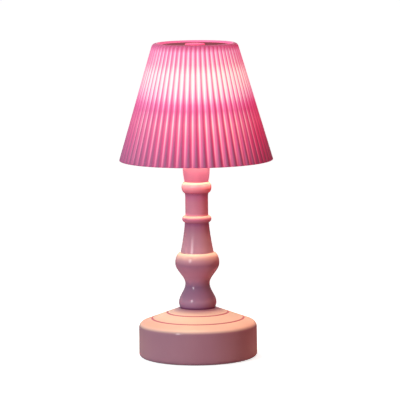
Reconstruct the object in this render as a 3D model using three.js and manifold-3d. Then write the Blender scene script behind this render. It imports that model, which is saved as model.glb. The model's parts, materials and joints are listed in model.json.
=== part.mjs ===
// A battery night light in the form of a small table lamp: a pleated shade on a turned stem,
// over a round base that holds three AAA cells.
// Millimetres, +Z up. The origin is the middle of the base, on the table. The front faces -Y.

import * as THREE from "three";
import { mergeVertices } from "three/addons/utils/BufferGeometryUtils.js";
import Module from "manifold-3d";

const wasm = await Module();
wasm.setup();

// Clearances
const slipGap = 0.3; // on the radius, between round pieces that fit one in the other
const edgeGap = 0.2; // between flat pieces that move or drop in

// Rubber feet
const footRadius = 3.5;
const footThickness = 1.5;
const footPocketDepth = 0.9;
const footInset = 8.6; // from the base's side to a foot's middle
const footAngle = 51; // degrees from the X axis, repeated in each quarter

// Base housing
const baseRoom = 5.92; // from the corners of the battery bay to the base's side
const baseDraft = 0.15; // the side leans in by this much at its top
const baseSideHeight = 22.15;
const baseEdgeRound = 2.6;
const shoulderRound = 4;
const domeRise = 10.05; // from the shoulder to the stem's seat
const baseWall = 2.4;
const grooveRadii = [29, 19.2];
const grooveWidth = 1;
const grooveDepth = 0.5;
const seatMargin = 0.3; // the seat is wider than the stem's foot by this much
const seatPadThickness = 4;

// Stem
const wireBoreRadius = 3.2;
const vaseFootRadius = 11.3;
const vaseBulgeRadius = 12.25;
const vaseBulgeHeight = 3.4;
const vaseNeckRadius = 7.95;
const vaseNeckHeight = 15.7;
const vaseBellyRadius = 14.4;
const vaseBellyHeight = 29.2;
const vaseTopRadius = 10.95;
const vaseHeight = 36.2;
const spigotRadius = 6;
const spigotLength = 8;
const coneFootRadius = 10.8;
const coneHeight = 19.5;
const beadTube = 2.45; // half the height of the ring on the column
const beadReach = 9.55;
const columnRadius = 7.45;
const columnHeight = 14.45;
const columnFlare = 0.3;
const columnFlareHeight = 2.2;
const collarRadius = 9.75;
const collarNeckRadius = 7.5;
const collarHeight = 7.45;

// Lamp holder, a translucent sleeve with a cup for the light on top
const holderSpigotRadius = 5;
const holderSpigotLength = 7;
const holderFootRadius = 7.8;
const holderCurveHeight = 8;
const holderRadius = 8.8;
const holderSleeveHeight = 44;
const holderWall = 1.4;
const cupRadius = 14;
const cupFlareHeight = 6;
const cupRimHeight = 3.2;
const cupWall = 1.3;
const boardLedge = 1.8;

// Light
const boardThickness = 1.2;
const emitterSide = 5;
const emitterThickness = 1.4;
const resistorLength = 3.2;
const resistorWidth = 1.6;
const resistorThickness = 0.6;
const resistorOffset = 6.5;
const bulbFlange = 1.4;
const bulbRadius = 13;
const bulbWall = 1.3;
const bulbHeight = 34.55; // from the cup's rim to the shoulder that carries the shade
const bulbCylinderHeight = 20;
const bulbShoulderRadius = 9;
const bulbTipRadius = 6.5;
const bulbTipHeight = 1.9;
const bulbTipRound = 0.9;

// Shade and the spider that carries it
const shadeFootRadius = 50;
const shadeTopRadius = 27.5; // where the cone would reach the top
const shadeHeight = 75.9;
const shadeWall = 1.2; // behind the valleys
const shadeShoulderRound = 3;
const shadeOpeningRadius = 24.5;
const shadeRimDepth = 1.2;
const shadeInnerRound = 1;
const rimAboveHub = 0.55;
const pleatCount = 62;
const pleatDepth = 1.4; // at the foot; it shrinks with the radius
const pleatAngle = -89.03; // degrees from the X axis to one crest
const hubRadius = 17.5;
const hubThickness = 1.5;
const spiderArmCount = 3;
const spiderArmAngle = -90; // degrees from the X axis to the first arm
const spiderArmWidth = 4;
const spiderArmThickness = 1.8;
const spiderRingDrop = 9.5; // from the hub's top to the ring's foot
const spiderRingHeight = 4.5;
const spiderRingWall = 1.8;

// Bottom cover
const coverPlate = 1.8;
const coverLipHeight = 3;
const coverLipWall = 1.4;
const coverScrewInset = 8.4; // from the base's side
const coverScrewAngle = 65.5; // degrees from the X axis, repeated in each quarter
const coverBossHeight = 4.2; // from the underside
const bossRadius = 3.1;

// Battery bay and door
const cellLength = 44.5;
const cellRadius = 5.25;
const cellPitch = 11.2;
const cellCount = 3;
const cellNubRadius = 2.2;
const cellNubHeight = 1;
const cellRimRound = 0.6;
const springRoom = 5.1;
const contactThickness = 0.4;
const contactWidth = 8;
const contactHeight = 6;
const contactTabWidth = 2.6;
const contactTabHeight = 2;
const baySideRoom = 0.65;
const bayRoofRoom = 0.45;
const bayFloorRoom = 0.5;
const bayWall = 1.6;
const bayLedge = 1; // thickness of the ledge that the door closes against
const bayLedgeWidth = 1.6;
const bayPadWidth = 1.6; // stiff frame outside the door's recess
const cellRibWidth = 1.4;
const cellRibDepth = 2.4;
const doorThickness = 1.5;
const doorTongueReach = 2.9; // from the door's end to the screw
const doorTongueRadius = 3.8;
const doorTabWidth = 3.2;
const doorTabReach = 1.5;
const doorTabThickness = 0.8;
const doorTabPost = 1;
const doorGripCount = 4;
const doorGripPitch = 2.2;
const doorGripLength = 16;
const doorGripDepth = 0.4;

// Battery springs
const springWire = 0.35;
const springFootRadius = 3.3;
const springHeadRadius = 2.4;
const springTurns = 3.5;

// Screws
const screwShaftRadius = 1;
const screwHoleRadius = 1.4;
const screwHeadRadius = 2.3;
const screwHeadHeight = 1.5;
const coverScrewLength = 10;
const stemScrewLength = 11;
const stemScrewCircle = 7.6;
const stemScrewCount = 3;
const doorScrewLength = 5;
const doorScrewHeadDepth = 1.1;
const counterboreDepth = 1.9;

// Slide switch
const switchInset = 11.4; // from the base's side at the back
const switchLength = 10.2;
const switchWidth = 5;
const switchHeight = 4.2;
const switchEarLength = 17;
const switchEarThickness = 0.5;
const switchTravel = 4;
const switchCavityDepth = 1.8;
const switchPinSpacing = 2.8;
const switchPinLength = 2.6;
const switchPinWidth = 0.8;
const knobLength = 3.4;
const knobWidth = 2.4;
const knobFlange = 1.2;
const knobRecess = 0.2; // the knob ends this far above the base's underside
const thumbRecessLength = 13;
const thumbRecessWidth = 6.6;
const thumbRecessDepth = 0.7;
const switchPegRadius = 0.8;
const switchPegHeight = 1.6;

// Leads
const leadRadius = 0.6;
const leadSides = 6;

// Facets
const wideSides = 40;
const stemSides = 20;
const smallSides = 12;
const screwSides = 8;

// Heights that follow from the sizes above
const underside = footThickness - footPocketDepth;
const shoulderTop = underside + baseSideHeight;
const stemSeat = shoulderTop + domeRise;
const vaseTop = stemSeat + vaseHeight;
const coneTop = vaseTop + coneHeight;
const beadMiddle = coneTop + beadTube;
const columnFoot = beadMiddle + beadTube;
const columnTop = columnFoot + columnHeight;
const collarTop = columnTop + collarHeight;
const cupFoot = collarTop + holderSleeveHeight;
const cupLedge = cupFoot + cupFlareHeight;
const cupRim = cupLedge + cupRimHeight;
const bulbShoulder = cupRim + bulbHeight;
const hubTop = bulbShoulder + edgeGap + hubThickness;
const shadeTop = hubTop + rimAboveHub;
const shadeFoot = shadeTop - shadeHeight;

// Angles and radii that follow
const degrees = Math.PI / 180;
const seatRadius = vaseFootRadius + seatMargin;
const shadeSlope = (shadeFootRadius - shadeTopRadius) / shadeHeight;
const shadeWallAcross = shadeWall * Math.hypot(1, shadeSlope);

// Battery bay, measured from the lamp's axis
const doorTop = underside + doorThickness;
const ledgeFoot = doorTop + edgeGap;
const ledgeTop = ledgeFoot + bayLedge;
const cellMiddle = doorTop + bayFloorRoom + cellRadius;
const bayRoof = cellMiddle + cellRadius + bayRoofRoom;
const bayHalfLength = (cellLength + springRoom) / 2 + contactThickness;
const bayHalfWidth = ((cellCount - 1) * cellPitch) / 2 + cellRadius + baySideRoom;
const recessHalfLength = bayHalfLength + bayLedgeWidth;
const recessHalfWidth = bayHalfWidth + bayLedgeWidth;
const doorHalfLength = recessHalfLength - edgeGap;
const doorHalfWidth = recessHalfWidth - edgeGap;
const doorScrewX = doorHalfLength + doorTongueReach;
const doorTabOffset = cellPitch / 2;
const plateTop = underside + coverPlate;
const coverBossTop = underside + coverBossHeight;

// Base, round the bay
const baseRadius = Math.hypot(bayHalfLength + bayWall, bayHalfWidth + bayWall) + baseRoom;
const baseTopRadius = baseRadius - baseDraft;
const domeSlope = domeRise / (baseTopRadius - seatRadius);
const domeUnderDrop = baseWall * Math.hypot(1, domeSlope);
const baseInnerRadius = baseRadius - baseWall;
const coverRadius = baseInnerRadius - slipGap;
const footCircle = baseRadius - footInset;
const coverScrewCircle = baseRadius - coverScrewInset;
const switchMiddle = baseRadius - switchInset;

// Solids

function solidOf(geometry) {
  const bare = geometry.clone();
  bare.deleteAttribute("normal");
  bare.deleteAttribute("uv");
  const merged = mergeVertices(bare, 1e-4);
  return new wasm.Manifold(
    new wasm.Mesh({
      numProp: 3,
      vertProperties: merged.attributes.position.array,
      triVerts: new Uint32Array(merged.index.array),
    }),
  );
}

function geometryOf(solid) {
  const mesh = solid.getMesh();
  const geometry = new THREE.BufferGeometry()
    .setAttribute("position", new THREE.BufferAttribute(mesh.vertProperties, 3))
    .setIndex(new THREE.BufferAttribute(mesh.triVerts, 1))
    .toNonIndexed();
  geometry.computeVertexNormals();
  return geometry;
}

const joined = (...solids) => solids.reduce((whole, next) => whole.add(next));
const without = (solid, ...cutters) => solid.subtract(joined(...cutters));

function box([lowX, lowY, lowZ], [highX, highY, highZ]) {
  const geometry = new THREE.BoxGeometry(highX - lowX, highY - lowY, highZ - lowZ);
  geometry.translate((lowX + highX) / 2, (lowY + highY) / 2, (lowZ + highZ) / 2);
  return solidOf(geometry);
}

function rod(radius, low, high, [x, y] = [0, 0], sides = smallSides) {
  const geometry = new THREE.CylinderGeometry(radius, radius, high - low, sides);
  geometry.rotateX(Math.PI / 2);
  geometry.translate(x, y, (low + high) / 2);
  return solidOf(geometry);
}

// Revolves an outline of [radius, height] points about the Z axis.
function turned(outline, sides) {
  const points = outline.map(([radius, height]) => new THREE.Vector2(radius, height));
  const closed = points[0].x > 0 || points[points.length - 1].x > 0;
  if (THREE.ShapeUtils.area(points) < 0) points.reverse();
  if (closed) points.push(points[0].clone());
  const geometry = new THREE.LatheGeometry(points, sides);
  geometry.rotateX(Math.PI / 2);
  return solidOf(geometry);
}

// Replaces the corner between two straight runs of an outline by an arc that touches both.
function rounded(before, corner, after, radius, steps = 4) {
  const start = new THREE.Vector2(...before).sub(new THREE.Vector2(...corner)).normalize();
  const end = new THREE.Vector2(...after).sub(new THREE.Vector2(...corner)).normalize();
  const half = Math.acos(start.dot(end)) / 2;
  const centre = start.clone().add(end).setLength(radius / Math.sin(half));
  const from = start.multiplyScalar(radius / Math.tan(half)).sub(centre);
  const to = end.multiplyScalar(radius / Math.tan(half)).sub(centre);
  const sweep = Math.atan2(from.cross(to), from.dot(to));
  return Array.from({ length: steps + 1 }, (_, i) => {
    const at = from.clone().rotateAround(new THREE.Vector2(), (sweep * i) / steps);
    return [corner[0] + centre.x + at.x, corner[1] + centre.y + at.y];
  });
}

// Points of a formula for t from 0 to 1.
const curve = (steps, at) => Array.from({ length: steps + 1 }, (_, i) => at(i / steps));
const ease = (t) => (1 - Math.cos(Math.PI * t)) / 2;
const mix = (from, to, t) => from + (to - from) * t;

const onCircle = (radius, angle) => [
  radius * Math.cos(angle * degrees),
  radius * Math.sin(angle * degrees),
];
const inEachQuarter = (radius, angle) =>
  [angle, 180 - angle, 180 + angle, 360 - angle].map((turn) => onCircle(radius, turn));

// Base

const coverScrews = inEachQuarter(coverScrewCircle, coverScrewAngle);
const footMiddles = inEachQuarter(footCircle, footAngle);
const stemScrews = Array.from({ length: stemScrewCount }, (_, i) =>
  onCircle(stemScrewCircle, 90 + (360 * i) / stemScrewCount),
);
const domeHeight = (radius) => stemSeat - domeSlope * (radius - seatRadius);

// The base's outer form, solid: shell and cover are both cut from it.
function baseForm() {
  const foot = [baseRadius, underside];
  const shoulder = [baseTopRadius, shoulderTop];
  const seat = [seatRadius, stemSeat];
  const grooves = grooveRadii.flatMap((radius) => [
    [radius + grooveWidth / 2, domeHeight(radius + grooveWidth / 2)],
    [radius, domeHeight(radius) - grooveDepth],
    [radius - grooveWidth / 2, domeHeight(radius - grooveWidth / 2)],
  ]);
  return turned(
    [
      [0, underside],
      ...rounded([0, underside], foot, shoulder, baseEdgeRound),
      ...rounded(foot, shoulder, seat, shoulderRound),
      ...grooves,
      seat,
      [0, stemSeat],
    ],
    wideSides,
  );
}

function baseShell() {
  const underDome = (radius) => domeHeight(radius) - domeUnderDrop;
  const cavity = turned(
    [
      [0, 0],
      [baseInnerRadius, 0],
      [baseInnerRadius, underDome(baseInnerRadius)],
      [seatRadius, underDome(seatRadius)],
      [seatRadius, stemSeat - seatPadThickness],
      [0, stemSeat - seatPadThickness],
    ],
    wideSides,
  );
  const bosses = coverScrews.map((at) => rod(bossRadius, coverBossTop, stemSeat, at));
  const pilots = coverScrews.map((at) =>
    rod(screwHoleRadius, 0, coverBossTop + coverScrewLength, at, screwSides),
  );
  const stemHoles = stemScrews.map((at) => rod(screwHoleRadius, underside, vaseTop, at, screwSides));
  const bore = rod(wireBoreRadius, 0, vaseTop);
  return without(baseForm(), without(cavity, ...bosses), ...pilots, ...stemHoles, bore);
}

function bottomCover() {
  const plate = baseForm().intersect(rod(coverRadius, 0, plateTop, [0, 0], wideSides));
  const lip = turned(
    [
      [coverRadius - coverLipWall, underside + coverPlate / 2],
      [coverRadius, underside + coverPlate / 2],
      [coverRadius, plateTop + coverLipHeight],
      [coverRadius - coverLipWall, plateTop + coverLipHeight],
    ],
    wideSides,
  );
  const padLength = recessHalfLength + bayPadWidth;
  const padWidth = recessHalfWidth + bayPadWidth;
  const pad = joined(
    box([-padLength, -padWidth, underside], [padLength, padWidth, ledgeTop]),
    rod(doorTongueRadius + bayPadWidth, underside, ledgeTop, [doorScrewX, 0]),
  ).intersect(rod(coverRadius - coverLipWall / 2, 0, ledgeTop, [0, 0], wideSides));
  const tub = box(
    [-bayHalfLength - bayWall, -bayHalfWidth - bayWall, ledgeFoot],
    [bayHalfLength + bayWall, bayHalfWidth + bayWall, bayRoof + bayWall],
  );
  const screwPosts = coverScrews.map((at) => rod(bossRadius + 0.6, underside, coverBossTop, at));
  const doorPost = rod(
    bossRadius,
    underside,
    ledgeFoot + doorScrewLength + bayLedge,
    [doorScrewX, 0],
  );
  const switchPegs = [-1, 1].map((side) =>
    rod(
      switchPegRadius,
      underside + coverPlate / 2,
      plateTop + switchPegHeight,
      [side * (switchEarLength / 2 - 1.6), switchMiddle],
      screwSides,
    ),
  );

  const bay = box(
    [-bayHalfLength, -bayHalfWidth, 0],
    [bayHalfLength, bayHalfWidth, bayRoof],
  );
  const recess = joined(
    box([-recessHalfLength, -recessHalfWidth, 0], [recessHalfLength, recessHalfWidth, ledgeFoot]),
    rod(doorTongueRadius + edgeGap, 0, ledgeFoot, [doorScrewX, 0]),
  );
  const tabSlots = [-1, 1].map((side) => {
    const half = doorTabWidth / 2 + edgeGap;
    return box(
      [-recessHalfLength, side * doorTabOffset - half, ledgeFoot - edgeGap],
      [-bayHalfLength + edgeGap, side * doorTabOffset + half, ledgeTop + doorTabThickness + 1],
    );
  });
  const contactSlots = [
    contactTabBox(1, -1, edgeGap),
    contactTabBox(-1, 1, edgeGap),
  ];
  const counterbores = coverScrews.flatMap((at) => [
    rod(screwHeadRadius + edgeGap, 0, underside + counterboreDepth, at),
    rod(screwHoleRadius, 0, coverBossTop + 1, at, screwSides),
  ]);
  const doorPilot = rod(
    screwHoleRadius,
    0,
    ledgeFoot + doorScrewLength,
    [doorScrewX, 0],
    screwSides,
  );
  const footPockets = footMiddles.map((at) =>
    rod(footRadius + edgeGap, 0, underside + footPocketDepth, at),
  );
  const thumbRecess = box(
    [-thumbRecessLength / 2, switchMiddle - thumbRecessWidth / 2, 0],
    [thumbRecessLength / 2, switchMiddle + thumbRecessWidth / 2, underside + thumbRecessDepth],
  );
  const halfWindow = (knobLength + switchTravel) / 2 + edgeGap;
  const switchWindow = box(
    [-halfWindow, switchMiddle - knobWidth / 2 - edgeGap, 0],
    [halfWindow, switchMiddle + knobWidth / 2 + edgeGap, plateTop + 1],
  );
  const ribs = Array.from({ length: cellCount - 1 }, (_, i) => {
    const middle = (i + 1 - cellCount / 2) * cellPitch;
    return box(
      [-bayHalfLength / 2, middle - cellRibWidth / 2, bayRoof - cellRibDepth],
      [bayHalfLength / 2, middle + cellRibWidth / 2, bayRoof + bayWall / 2],
    );
  });
  const body = without(
    joined(plate, lip, pad, tub, doorPost, ...screwPosts),
    bay,
    recess,
    doorPilot,
    thumbRecess,
    switchWindow,
    ...tabSlots,
    ...contactSlots,
    ...counterbores,
    ...footPockets,
  );
  return joined(body, ...ribs, ...switchPegs);
}

function rubberFoot([x, y]) {
  const geometry = new THREE.CylinderGeometry(
    footRadius,
    footRadius - 0.4,
    footThickness,
    smallSides,
  );
  geometry.rotateX(Math.PI / 2);
  geometry.translate(x, y, footThickness / 2);
  return solidOf(geometry);
}

// Battery door: two tabs hook over the ledge at one end, and a screw holds the tongue at the other.
function batteryDoor() {
  const panel = joined(
    box([-doorHalfLength, -doorHalfWidth, underside], [doorHalfLength, doorHalfWidth, doorTop]),
    rod(doorTongueRadius, underside, doorTop, [doorScrewX, 0]),
  );
  const tabs = [-1, 1].map((side) => {
    const low = side * doorTabOffset - doorTabWidth / 2;
    const high = side * doorTabOffset + doorTabWidth / 2;
    const hookFoot = ledgeTop + edgeGap;
    return joined(
      box(
        [-doorHalfLength + edgeGap, low, doorTop - doorThickness / 2],
        [-doorHalfLength + edgeGap + doorTabPost, high, hookFoot + doorTabThickness],
      ),
      box(
        [-doorHalfLength - doorTabReach, low, hookFoot],
        [-doorHalfLength + edgeGap + doorTabPost, high, hookFoot + doorTabThickness],
      ),
    );
  });
  const screwHole = joined(
    rod(screwShaftRadius + edgeGap, 0, ledgeTop, [doorScrewX, 0], screwSides),
    countersink(edgeGap).translate([doorScrewX, 0, underside]),
  );
  const grips = Array.from({ length: doorGripCount }, (_, i) => {
    const middle = doorHalfLength - 4 - i * doorGripPitch;
    return box(
      [middle - 0.5, -doorGripLength / 2, 0],
      [middle + 0.5, doorGripLength / 2, underside + doorGripDepth],
    );
  });
  return without(joined(panel, ...tabs), screwHole, ...grips);
}

// Cells, contacts and springs

const cells = Array.from({ length: cellCount }, (_, i) => ({
  y: (i - (cellCount - 1) / 2) * cellPitch,
  plusEnd: i % 2 === 0 ? 1 : -1, // +1 when the positive end points along +X
}));

function cell({ y, plusEnd }) {
  const can = cellLength - cellNubHeight;
  const outline = [
    [0, 0],
    [cellRadius - cellRimRound, 0],
    [cellRadius, cellRimRound],
    [cellRadius, can - cellRimRound],
    [cellRadius - cellRimRound, can],
    [cellNubRadius, can],
    [cellNubRadius, cellLength],
    [0, cellLength],
  ];
  const plusX = bayHalfLength - contactThickness - edgeGap;
  const lying = turned(outline, smallSides + 2).rotate([0, 90, 0]).translate([plusX - cellLength, 0, 0]);
  const turnedRound = plusEnd > 0 ? lying : lying.rotate([0, 0, 180]);
  return turnedRound.translate([0, y, cellMiddle]);
}

// Solder tab of an end contact, through the roof of the bay.
function contactTabBox(end, row, gap = 0) {
  const inner = bayHalfLength - contactThickness - gap;
  const outer = bayHalfLength + (gap ? bayWall / 2 : 0);
  const y = row * cellPitch;
  const halfWidth = contactTabWidth / 2 + gap;
  return box(
    [Math.min(end * inner, end * outer), y - halfWidth, cellMiddle],
    [Math.max(end * inner, end * outer), y + halfWidth, bayRoof + bayWall + contactTabHeight],
  );
}

// A contact plate at one end of the bay, from one row of cells to another.
function contactPlate(end, firstRow, lastRow, hasTab) {
  const low = Math.min(end * bayHalfLength, end * (bayHalfLength - contactThickness));
  const plate = box(
    [low, firstRow * cellPitch - contactWidth / 2, cellMiddle - contactHeight / 2],
    [low + contactThickness, lastRow * cellPitch + contactWidth / 2, cellMiddle + contactHeight / 2],
  );
  return hasTab ? joined(plate, contactTabBox(end, firstRow)) : plate;
}

class ConeSpring extends THREE.Curve {
  getPoint(t, target = new THREE.Vector3()) {
    const turn = 2 * Math.PI * springTurns * t;
    const radius = mix(springFootRadius, springHeadRadius, t);
    const rise = mix(springWire, springRoom - 2 * edgeGap - springWire, t);
    return target.set(rise, radius * Math.cos(turn), radius * Math.sin(turn));
  }
}

// The least gap between two turns of a wire, measured on points along its middle line.
function leastGap(path, radius, turns, pointsPerTurn = 48) {
  const points = path.getPoints(turns * pointsPerTurn);
  let least = Infinity;
  points.forEach((point, i) => {
    for (const other of points.slice(i + Math.round(pointsPerTurn / 2))) {
      least = Math.min(least, point.distanceTo(other));
    }
  });
  return least - 2 * radius;
}

const roundSection = (radius, sides) =>
  new THREE.Shape(
    Array.from({ length: sides }, (_, i) => {
      const [x, y] = onCircle(radius, (360 * i) / sides);
      return new THREE.Vector2(x, y);
    }),
  );

function tube(path, radius, sides, steps) {
  return solidOf(
    new THREE.ExtrudeGeometry(roundSection(radius, sides), {
      extrudePath: path,
      steps,
      bevelEnabled: false,
    }),
  );
}

// A spring on the minus end of a cell.
function batterySpring({ y, plusEnd }) {
  const lying = tube(new ConeSpring(), springWire, 5, Math.round(springTurns * 8));
  const placed = lying.translate([-bayHalfLength + contactThickness + edgeGap, 0, 0]);
  return (plusEnd > 0 ? placed : placed.rotate([0, 0, 180])).translate([0, y, cellMiddle]);
}

const springGap = leastGap(new ConeSpring(), springWire, springTurns);
console.log(`battery spring: least gap between turns ${springGap.toFixed(2)} mm`);

// Screws

// A pan head under a plain shaft, standing on its head.
function screw(length) {
  return turned(
    [
      [0, 0],
      [screwHeadRadius - 0.4, 0],
      [screwHeadRadius, 0.5],
      [screwHeadRadius, screwHeadHeight],
      [screwShaftRadius, screwHeadHeight],
      [screwShaftRadius, screwHeadHeight + length],
      [0, screwHeadHeight + length],
    ],
    screwSides,
  );
}

function countersink(gap = 0) {
  return turned(
    [
      [0, 0],
      [screwHeadRadius + gap, 0],
      [screwShaftRadius + gap, doorScrewHeadDepth],
      [0, doorScrewHeadDepth],
    ],
    smallSides,
  );
}

function doorScrew() {
  const shaftTop = doorThickness + edgeGap + doorScrewLength - edgeGap * 4;
  return joined(countersink(), rod(screwShaftRadius, 0.2, shaftTop, [0, 0], screwSides)).translate([
    doorScrewX,
    0,
    underside,
  ]);
}

// Slide switch

const switchFoot = plateTop;

function switchBody() {
  const halfCavity = (knobLength + switchTravel) / 2 + edgeGap;
  const can = box(
    [-switchLength / 2, switchMiddle - switchWidth / 2, switchFoot],
    [switchLength / 2, switchMiddle + switchWidth / 2, switchFoot + switchHeight],
  );
  const ears = box(
    [-switchEarLength / 2, switchMiddle - switchWidth / 2, switchFoot],
    [switchEarLength / 2, switchMiddle + switchWidth / 2, switchFoot + switchEarThickness],
  );
  const pins = [-1, 0, 1].map((i) =>
    box(
      [
        i * switchPinSpacing - switchPinWidth / 2,
        switchMiddle - switchPinWidth / 4,
        switchFoot + switchHeight / 2,
      ],
      [
        i * switchPinSpacing + switchPinWidth / 2,
        switchMiddle + switchPinWidth / 4,
        switchFoot + switchHeight + switchPinLength,
      ],
    ),
  );
  const cavity = box(
    [-halfCavity, switchMiddle - knobWidth / 2 - edgeGap, 0],
    [halfCavity, switchMiddle + knobWidth / 2 + edgeGap, switchFoot + switchCavityDepth],
  );
  const pegHoles = [-1, 1].map((side) =>
    rod(
      switchPegRadius + edgeGap,
      0,
      switchFoot + 1,
      [side * (switchEarLength / 2 - 1.6), switchMiddle],
      screwSides,
    ),
  );
  return without(joined(can, ears, ...pins), cavity, ...pegHoles);
}

// The knob stands at the end of its travel where the light is on.
function switchKnob() {
  const middle = -switchTravel / 2;
  const top = switchFoot + switchCavityDepth - edgeGap;
  return joined(
    box(
      [middle - knobLength / 2, switchMiddle - knobWidth / 2, top - knobFlange],
      [middle + knobLength / 2, switchMiddle + knobWidth / 2, top],
    ),
    box(
      [middle - knobLength / 2 + 0.3, switchMiddle - knobWidth / 2, underside + knobRecess],
      [middle + knobLength / 2 - 0.3, switchMiddle + knobWidth / 2, top - knobFlange / 2],
    ),
  );
}

// Stem

function stemVase() {
  const bulge = stemSeat + vaseBulgeHeight;
  const neck = stemSeat + vaseNeckHeight;
  const belly = stemSeat + vaseBellyHeight;
  const body = turned(
    [
      [wireBoreRadius, stemSeat],
      ...curve(3, (t) => [
        mix(vaseFootRadius, vaseBulgeRadius, Math.sin((Math.PI / 2) * t)),
        mix(stemSeat, bulge, t),
      ]),
      ...curve(6, (t) => [mix(vaseBulgeRadius, vaseNeckRadius, ease(t)), mix(bulge, neck, t)]).slice(1),
      ...curve(6, (t) => [mix(vaseNeckRadius, vaseBellyRadius, ease(t)), mix(neck, belly, t)]).slice(1),
      ...curve(4, (t) => [
        mix(vaseTopRadius, vaseBellyRadius, Math.cos((Math.PI / 2) * t)),
        mix(belly, vaseTop, Math.sin((Math.PI / 2) * t)),
      ]).slice(1),
      [spigotRadius + slipGap, vaseTop],
      [spigotRadius + slipGap, vaseTop - spigotLength - slipGap],
      [wireBoreRadius, vaseTop - spigotLength - slipGap],
    ],
    stemSides,
  );
  const pilots = stemScrews.map((at) =>
    rod(
      screwHoleRadius,
      0,
      stemSeat - seatPadThickness + stemScrewLength + slipGap,
      at,
      screwSides,
    ),
  );
  return without(body, ...pilots);
}

function stemColumn() {
  const beadCentre = beadReach - beadTube;
  const flareFoot = columnTop - columnFlareHeight;
  const cone = new THREE.QuadraticBezierCurve(
    new THREE.Vector2(coneFootRadius, vaseTop),
    new THREE.Vector2(mix(columnRadius, coneFootRadius, 0.35), mix(vaseTop, coneTop, 0.52)),
    new THREE.Vector2(columnRadius + 0.4, coneTop),
  );
  return turned(
    [
      [wireBoreRadius, vaseTop - spigotLength],
      [spigotRadius, vaseTop - spigotLength],
      [spigotRadius, vaseTop],
      ...cone.getPoints(4).map(({ x, y }) => [x, y]),
      ...curve(6, (t) => [
        beadCentre + beadTube * Math.sin(Math.PI * mix(0.1, 0.9, t)),
        beadMiddle - beadTube * Math.cos(Math.PI * mix(0.1, 0.9, t)),
      ]),
      [columnRadius, columnFoot],
      [columnRadius, flareFoot],
      ...curve(2, (t) => [columnRadius + columnFlare * t * t, mix(flareFoot, columnTop, t)]).slice(1),
      [holderSpigotRadius + slipGap, columnTop],
      [holderSpigotRadius + slipGap, columnTop - holderSpigotLength - slipGap],
      [wireBoreRadius, columnTop - holderSpigotLength - slipGap],
    ],
    stemSides,
  );
}

function stemCollar() {
  const middle = columnTop + collarHeight / 2;
  return turned(
    [
      [holderSpigotRadius + slipGap, columnTop],
      ...curve(8, (t) => [
        mix(collarNeckRadius, collarRadius, Math.sin(Math.PI * t)),
        middle - (collarHeight / 2) * Math.cos(Math.PI * t),
      ]),
      [holderSpigotRadius + slipGap, collarTop],
    ],
    stemSides,
  );
}

// Lamp holder and light

const boardRadius = cupRadius - cupWall - slipGap;
const boardTop = cupLedge + boardThickness;

function lampHolder() {
  const curveTop = collarTop + holderCurveHeight;
  const ledgeRadius = cupRadius - cupWall - boardLedge;
  const outside = [
    ...curve(3, (t) => [
      mix(holderFootRadius, holderRadius, Math.sin((Math.PI / 2) * t)),
      mix(collarTop, curveTop, t),
    ]),
    [holderRadius, cupFoot],
    ...curve(4, (t) => [mix(holderRadius, cupRadius, ease(t)), mix(cupFoot, cupLedge, t)]).slice(1),
    [cupRadius, cupRim],
  ];
  const inside = [
    [cupRadius - cupWall, cupRim],
    [cupRadius - cupWall, cupLedge],
    [ledgeRadius, cupLedge],
    [holderRadius - holderWall, cupFoot - holderWall],
    [holderRadius - holderWall, collarTop + holderCurveHeight / 2],
    [wireBoreRadius, collarTop + holderWall],
    [wireBoreRadius, columnTop - holderSpigotLength],
    [holderSpigotRadius, columnTop - holderSpigotLength],
    [holderSpigotRadius, collarTop],
  ];
  return turned([...outside, ...inside], stemSides);
}

const ledBoard = () => rod(boardRadius, cupLedge, boardTop, [0, 0], stemSides);

function ledEmitter() {
  const half = emitterSide / 2;
  return box([-half, -half, boardTop], [half, half, boardTop + emitterThickness]);
}

function ledResistor() {
  return box(
    [resistorOffset - resistorLength / 2, -resistorWidth / 2, boardTop],
    [resistorOffset + resistorLength / 2, resistorWidth / 2, boardTop + resistorThickness],
  );
}

// Frosted cover over the light. Its shoulder carries the spider, and its tip shows through the hub.
function bulb() {
  const skirtRadius = cupRadius - cupWall - slipGap;
  const bodyTop = cupRim + bulbCylinderHeight;
  const tipTop = bulbShoulder + bulbTipHeight;
  const dome = (inset, steps) =>
    curve(steps, (t) => [
      mix(bulbShoulderRadius, bulbRadius, Math.cos((Math.PI / 2) * t)) - inset,
      mix(bodyTop, bulbShoulder, Math.sin((Math.PI / 2) * t)) - (inset ? bulbWall * t : 0),
    ]);
  return turned(
    [
      [skirtRadius, boardTop + edgeGap],
      [skirtRadius, cupRim],
      [cupRadius - 0.3, cupRim],
      [bulbRadius, cupRim + bulbFlange],
      ...dome(0, 4),
      [bulbTipRadius, bulbShoulder],
      ...rounded([bulbTipRadius, bulbShoulder], [bulbTipRadius, tipTop], [0, tipTop], bulbTipRound, 2),
      [0, tipTop],
      [0, tipTop - bulbWall],
      [bulbTipRadius - bulbWall, tipTop - bulbWall],
      [bulbTipRadius - bulbWall, bulbShoulder - bulbWall],
      ...dome(bulbWall, 3).reverse(),
      [skirtRadius - bulbWall, cupRim],
      [skirtRadius - bulbWall, boardTop + edgeGap],
    ],
    stemSides,
  );
}

// Shade

function shadeInnerRadius(height) {
  const crest = shadeFootRadius - shadeSlope * (height - shadeFoot);
  return crest - (pleatDepth * crest) / shadeFootRadius - shadeWallAcross;
}

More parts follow.
